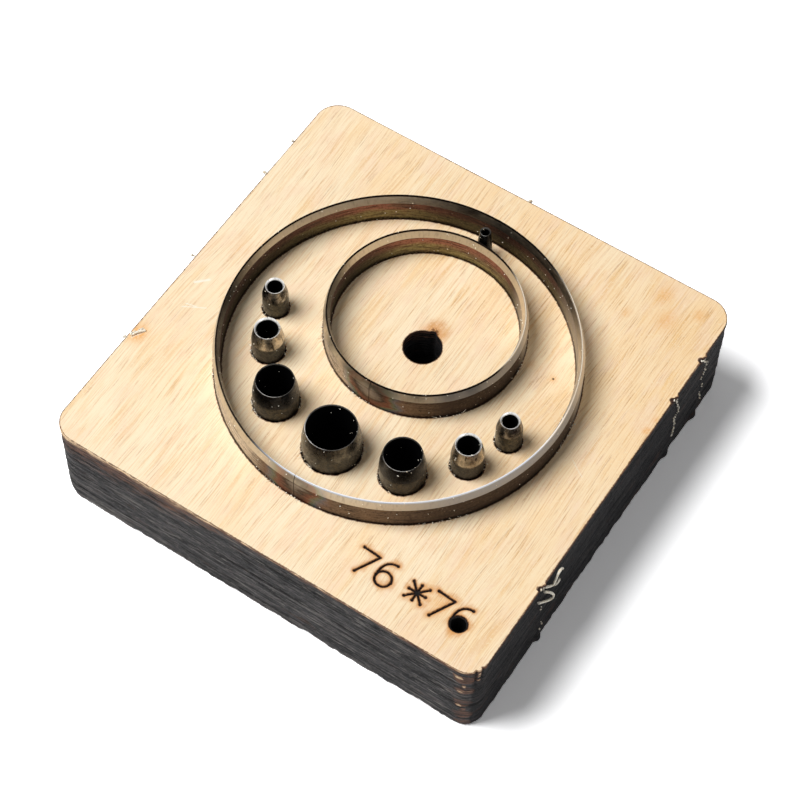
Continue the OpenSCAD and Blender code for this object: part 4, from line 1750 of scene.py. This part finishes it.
@dataclass(frozen=True)
class Studio:
    """A plain white floor, a soft lamp on the left, a weak one on the right and the photograph's camera."""

    target: tuple[float, float, float] = (3.34, -4.65, 18.0)
    azimuth: float = 31.92
    elevation: float = 58.18
    distance: float = 370.8
    roll: float = 1.53
    lens: float = 110.2
    sensor: float = 36.0
    floor_half: float = 520.0
    floor_colour: Colour = srgb(250, 250, 251)
    floor_seen: float = 2.1
    floor_lift: float = 0.02
    lamps: tuple[Lamp, ...] = (Lamp("window_light", -62.0, 59.5, 1000.0, 620.0, 10.5),
                               Lamp("fill_light", 78.0, 24.0, 900.0, 500.0, 0.8))
    sky: float = 0.12

    def ray(self, azimuth: float, elevation: float) -> Vector:
        """Gives the direction from the die towards a place in the room.

        Args:
            azimuth: Bearing in degrees, 0 in front and positive to the right.
            elevation: Height above the horizon, in degrees.

        Returns:
            A vector of length 1.
        """
        turn, rise = math.radians(azimuth), math.radians(elevation)
        return Vector((math.cos(rise) * math.sin(turn), -math.cos(rise) * math.cos(turn), math.sin(rise)))

    def build_camera(self) -> None:
        """Makes the camera and gives it to the scene."""
        data = bpy.data.cameras.new("camera")
        data.lens, data.sensor_width = self.lens, self.sensor
        camera = in_scene("camera", data)
        out = self.ray(self.azimuth, self.elevation)
        camera.rotation_mode = "QUATERNION"
        camera.location = (Vector(self.target) + out * self.distance) * MM
        camera.rotation_quaternion = (-out).to_track_quat("-Z", "Y") @ Quaternion((0, 0, 1), math.radians(self.roll))
        bpy.context.scene.camera = camera

    def build_lamp(self, lamp: Lamp) -> None:
        """Makes one lamp."""
        data = bpy.data.lights.new(lamp.name, "AREA")
        data.shape, data.size, data.energy = "DISK", lamp.width * MM, lamp.power
        stand = in_scene(lamp.name, data)
        out = self.ray(lamp.azimuth, lamp.elevation)
        stand.rotation_mode = "QUATERNION"
        stand.location = out * lamp.distance * MM
        stand.rotation_quaternion = (-out).to_track_quat("-Z", "Y")

    def build_world(self) -> None:
        """Makes the surroundings: white where they are seen, and a plain level where they light."""
        world = bpy.data.worlds.new("room")
        world.use_nodes = True
        sheet = NodeSheet(world.node_tree)
        sheet.tree.nodes.clear()
        path = sheet.add("ShaderNodeLightPath").outputs
        seen = sheet.maths("MAXIMUM", path["Is Camera Ray"], path["Is Glossy Ray"])
        seen = sheet.maths("MAXIMUM", seen, path["Is Transmission Ray"])
        level = sheet.out("ShaderNodeMapRange", {"Value": seen, "To Min": self.sky, "To Max": 1.0})
        light = sheet.out("ShaderNodeBackground", {"Color": (1, 1, 1, 1), "Strength": level})
        sheet.add("ShaderNodeOutputWorld", {"Surface": light})
        bpy.context.scene.world = world

    def floor_finish(self) -> bpy.types.Material:
        """Makes the floor's white, which keeps the die's shadow."""
        material = bpy.data.materials.new("floor_white")
        material.use_nodes = True
        sheet = NodeSheet(material.node_tree)
        sheet.tree.nodes.clear()
        path = sheet.add("ShaderNodeLightPath").outputs
        seen = sheet.maths("MAXIMUM", path["Is Camera Ray"], path["Is Glossy Ray"])
        level = sheet.out("ShaderNodeMapRange",
                          {"Value": path["Is Camera Ray"], "To Min": 1.0, "To Max": self.floor_seen})
        matt = sheet.out("ShaderNodeBsdfDiffuse", {"Color": sheet.scaled(self.floor_colour, level)})
        lift = sheet.maths("MULTIPLY", seen, self.floor_lift)
        glow = sheet.out("ShaderNodeEmission", {"Color": (1, 1, 1, 1), "Strength": lift})
        both = sheet.out("ShaderNodeAddShader", {0: matt, 1: glow})
        sheet.add("ShaderNodeOutputMaterial", {"Surface": both})
        return material

    def build_floor(self) -> None:
        """Makes the floor that the die lies on."""
        half = self.floor_half * MM
        mesh = bpy.data.meshes.new("floor")
        mesh.from_pydata([(-half, -half, 0), (half, -half, 0), (half, half, 0), (-half, half, 0)], [], [(0, 1, 2, 3)])
        mesh.materials.append(self.floor_finish())
        in_scene("floor", mesh)

    def build(self) -> None:
        """Makes the whole studio."""
        bpy.context.scene.view_settings.view_transform = "Standard"
        self.build_camera()
        for lamp in self.lamps:
            self.build_lamp(lamp)
        self.build_world()
        self.build_floor()


RULE_T = 1.07
BRIDGE_DROP = 2.0
DUST_LIFT = 0.3


# The pale bevel tones of the fine and small punches are their painted lit side.
FINE = PunchKind(Slot.BRONZED, 0.55, 2.1, 0.3, SteelTones(
    body=srgb(72, 69, 60), bevel=srgb(168, 160, 148), stain=srgb(34, 32, 30), blotch=0.75, lit=0.85))
SMALL = PunchKind(Slot.BRONZED, 0.55, 2.6, 0.3, SteelTones(
    body=srgb(58, 56, 50), bevel=srgb(208, 196, 176), stain=srgb(40, 37, 34), blotch=0.4, lit=0.9))
DARK_TONES = SteelTones(
    body=srgb(62, 58, 50), bevel=srgb(46, 47, 50), stain=srgb(24, 24, 26), blotch=0.7, lip=0.6, lip_glint_bearing=275.0)
MEDIUM = PunchKind(Slot.BLACKENED, 0.55, 2.8, 0.15, DARK_TONES)
LARGE = PunchKind(Slot.BLACKENED, 0.55, 2.8, 0.15, SteelTones(
    body=srgb(66, 62, 54), bevel=srgb(104, 100, 92), stain=srgb(44, 43, 43), blotch=0.6, lip_glint_bearing=235.0))
PINHOLE = PunchKind(Slot.BLACKENED, 0.4, 4.2, 0.2, DARK_TONES)
PUNCHES = {
    "fine_punch_left": FINE, "small_punch_left": SMALL, "medium_punch_left": MEDIUM, "large_punch": LARGE,
    "medium_punch_right": MEDIUM, "small_punch_right": SMALL, "fine_punch_right": FINE, "pinhole_punch": PINHOLE}
# The last three numbers of each rule's kind are the strengths of its painted shade, glint and sheen.
RULES = {"outer_rule": RuleKind(4, 45.0, 8.0, 0.9, 0.9, 0.6), "inner_rule": RuleKind(3, 90.0, 6.0, 0.1, 0.0, 0.55)}

# Torn places on the wall at the right: Y, height and, where it isn't 0, how far a place stands proud.
TRAILS = (
    ((27.3, 17.6), (28.0, 16.4), (29.1, 15.1), (28.9, 12.8), (28.3, 11.9), (28.2, 10.9)),
    ((-20.2, 17.6), (-19.5, 17.3, 0.05), (-18.9, 16.7)),
    ((29.0, 9.0), (29.1, 8.0)), ((28.8, 6.6), (28.7, 6.0)), ((29.1, 5.1), (29.2, 4.4)),
    ((19.05, 17.2), (20.6, 13.0), (20.7, 11.4), (19.6, 11.2), (20.4, 8.4), (20.2, 5.1)),
    ((27.2, 17.7, -0.2), (27.9, 17.3)), ((18.6, 17.7, -0.2), (19.2, 17.4)), ((-20.2, 17.5, -0.2), (-19.6, 17.0)),
    ((-18.8, 5.3), (-18.8, 4.7)), ((-19.2, 3.7), (-19.2, 3.3)), ((-19.5, 11.4), (-19.6, 10.6)))
CURLS = (
    ((-19.3, 17.3, 0.1), (-17.2, 14.8, 0.25), (-16.7, 16.0, 0.4), (-16.1, 17.3, 0.5), (-15.3, 17.1, 0.45),
     (-14.6, 15.9, 0.3)),
    ((-16.9, 14.4, 0.35), (-16.2, 14.3, 0.5), (-15.75, 14.8, 0.55)),
    ((-19.4, 16.0, 0.1), (-18.1, 14.0, 0.3), (-17.0, 11.8, 0.45), (-16.9, 10.7, 0.45), (-18.0, 11.4, 0.35),
     (-19.4, 13.0, 0.2), (-20.9, 14.8, 0.1)))
STUBS_LEFT = (27.2, 19.35, -0.2, -18.5)


def ring_rules(low: Points, high: Points) -> tuple[RingRule, ...]:
    """Gives the two rules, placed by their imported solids.

    Args:
        low: The board's lowest corner.
        high: The board's highest corner.

    Returns:
        The outer and the inner rule.
    """
    rules = []
    for node, kind in RULES.items():
        outline, top = round_node(node), node_box(node)[1][2]
        circle = Circle(outline.x, outline.y, outline.radius - RULE_T / 2)
        rules.append(RingRule(node, circle, low[2], top, high[2], RULE_T, BRIDGE_DROP, kind))
    return tuple(rules)


def wall_path(x: float, spots: tuple) -> list[tuple[float, float, float]]:
    """Gives a path on the wall at x, from its places' Y, height and how far they stand proud."""
    return [(x + sum(proud), y, z) for y, z, *proud in spots]


def torn_wood(low: Points, high: Points, tubes: dict[str, Circle], rules: tuple[RingRule, ...]) -> TornWood:
    """Gives where the wood is torn.

    Args:
        low: The board's lowest corner.
        high: The board's highest corner.
        tubes: The punches' circles.
        rules: The outer and the inner rule.

    Returns:
        The torn places.
    """
    right, left, back, top = high[0] + 0.05, low[0], high[1], high[2]
    stubs = [[(left + 0.1, y, top - 0.3), (left - 0.45, y + 0.1, top - 0.35)] for y in STUBS_LEFT]
    stubs += [[(0.0, back - 0.1, top - 0.3), (0.05, back + 0.35, top - 0.35)],
              [(left + 0.5, -17.6, top), (left + 1.4, -15.9, top)]]
    curls = [wall_path(right, spots) for spots in CURLS]
    curls.append([(left + 0.6, -17.9, top + 0.1), (left + 1.1, -16.9, top + 0.2), (left + 1.9, -15.9, top + 0.08)])
    turns = np.linspace(0.3, 2 * math.pi, 30)
    fuzz = [tube.at(turns[:22], tube.radius + 0.14, top + 0.03) for tube in tubes.values()]
    for rule in rules:
        for start in np.arange(0, 2 * math.pi, 0.9):
            stretch = np.linspace(start, start + 0.25, 6)
            fuzz.append(rule.circle.at(stretch, rule.circle.radius + rule.rule_t / 2 + 0.12, top + 0.02))
    trails = tuple(wall_path(right, spots) for spots in TRAILS)
    return TornWood(trails, tuple(stubs), tuple(fuzz), tuple(curls))


def main() -> None:
    """Builds the die piece by piece, and then the studio round it."""
    logging.basicConfig(level=logging.INFO, format="%(name)s: %(message)s")
    low, high = node_box("die_board")
    rules = ring_rules(low, high)
    tubes = {node: round_node(node) for node in PUNCHES}
    mount = next(m for m in frame["record"]["mounts"] if m["name"] == "centre_hole")
    hole = Circle(mount["pos_m"][0] * PER_METRE, mount["pos_m"][1] * PER_METRE, mount["dims"]["r_mm"])
    board = PlyBoard(low, high, tuple(r.slot() for r in rules), tuple(tubes.values()), hole, SizeMark(), BoardWear())
    wood = board.build()
    shade(wood, 40)
    settle(wood, Slot.BIRCH, "die_board")
    sweep, litter, steel = SteelSweep(), Litter(), []
    for rule in rules:
        steel.append(rule.build(sweep))
        settle(steel[-1], Slot.RULE, rule.node)
    for node, kind in PUNCHES.items():
        edge = node_box(node)[1][2]
        steel.append(TubePunch(node, tubes[node], low[2], edge, high[2], kind).build(sweep))
        settle(steel[-1], kind.slot, node)
    for piece in torn_wood(low, high, tubes, rules).build(litter):
        settle(piece, Slot.BIRCH)
    settle(steel_dust(litter, steel, high[2] + DUST_LIFT), Slot.BIRCH)
    Studio().build()


if __name__ == "__main__":
    main()
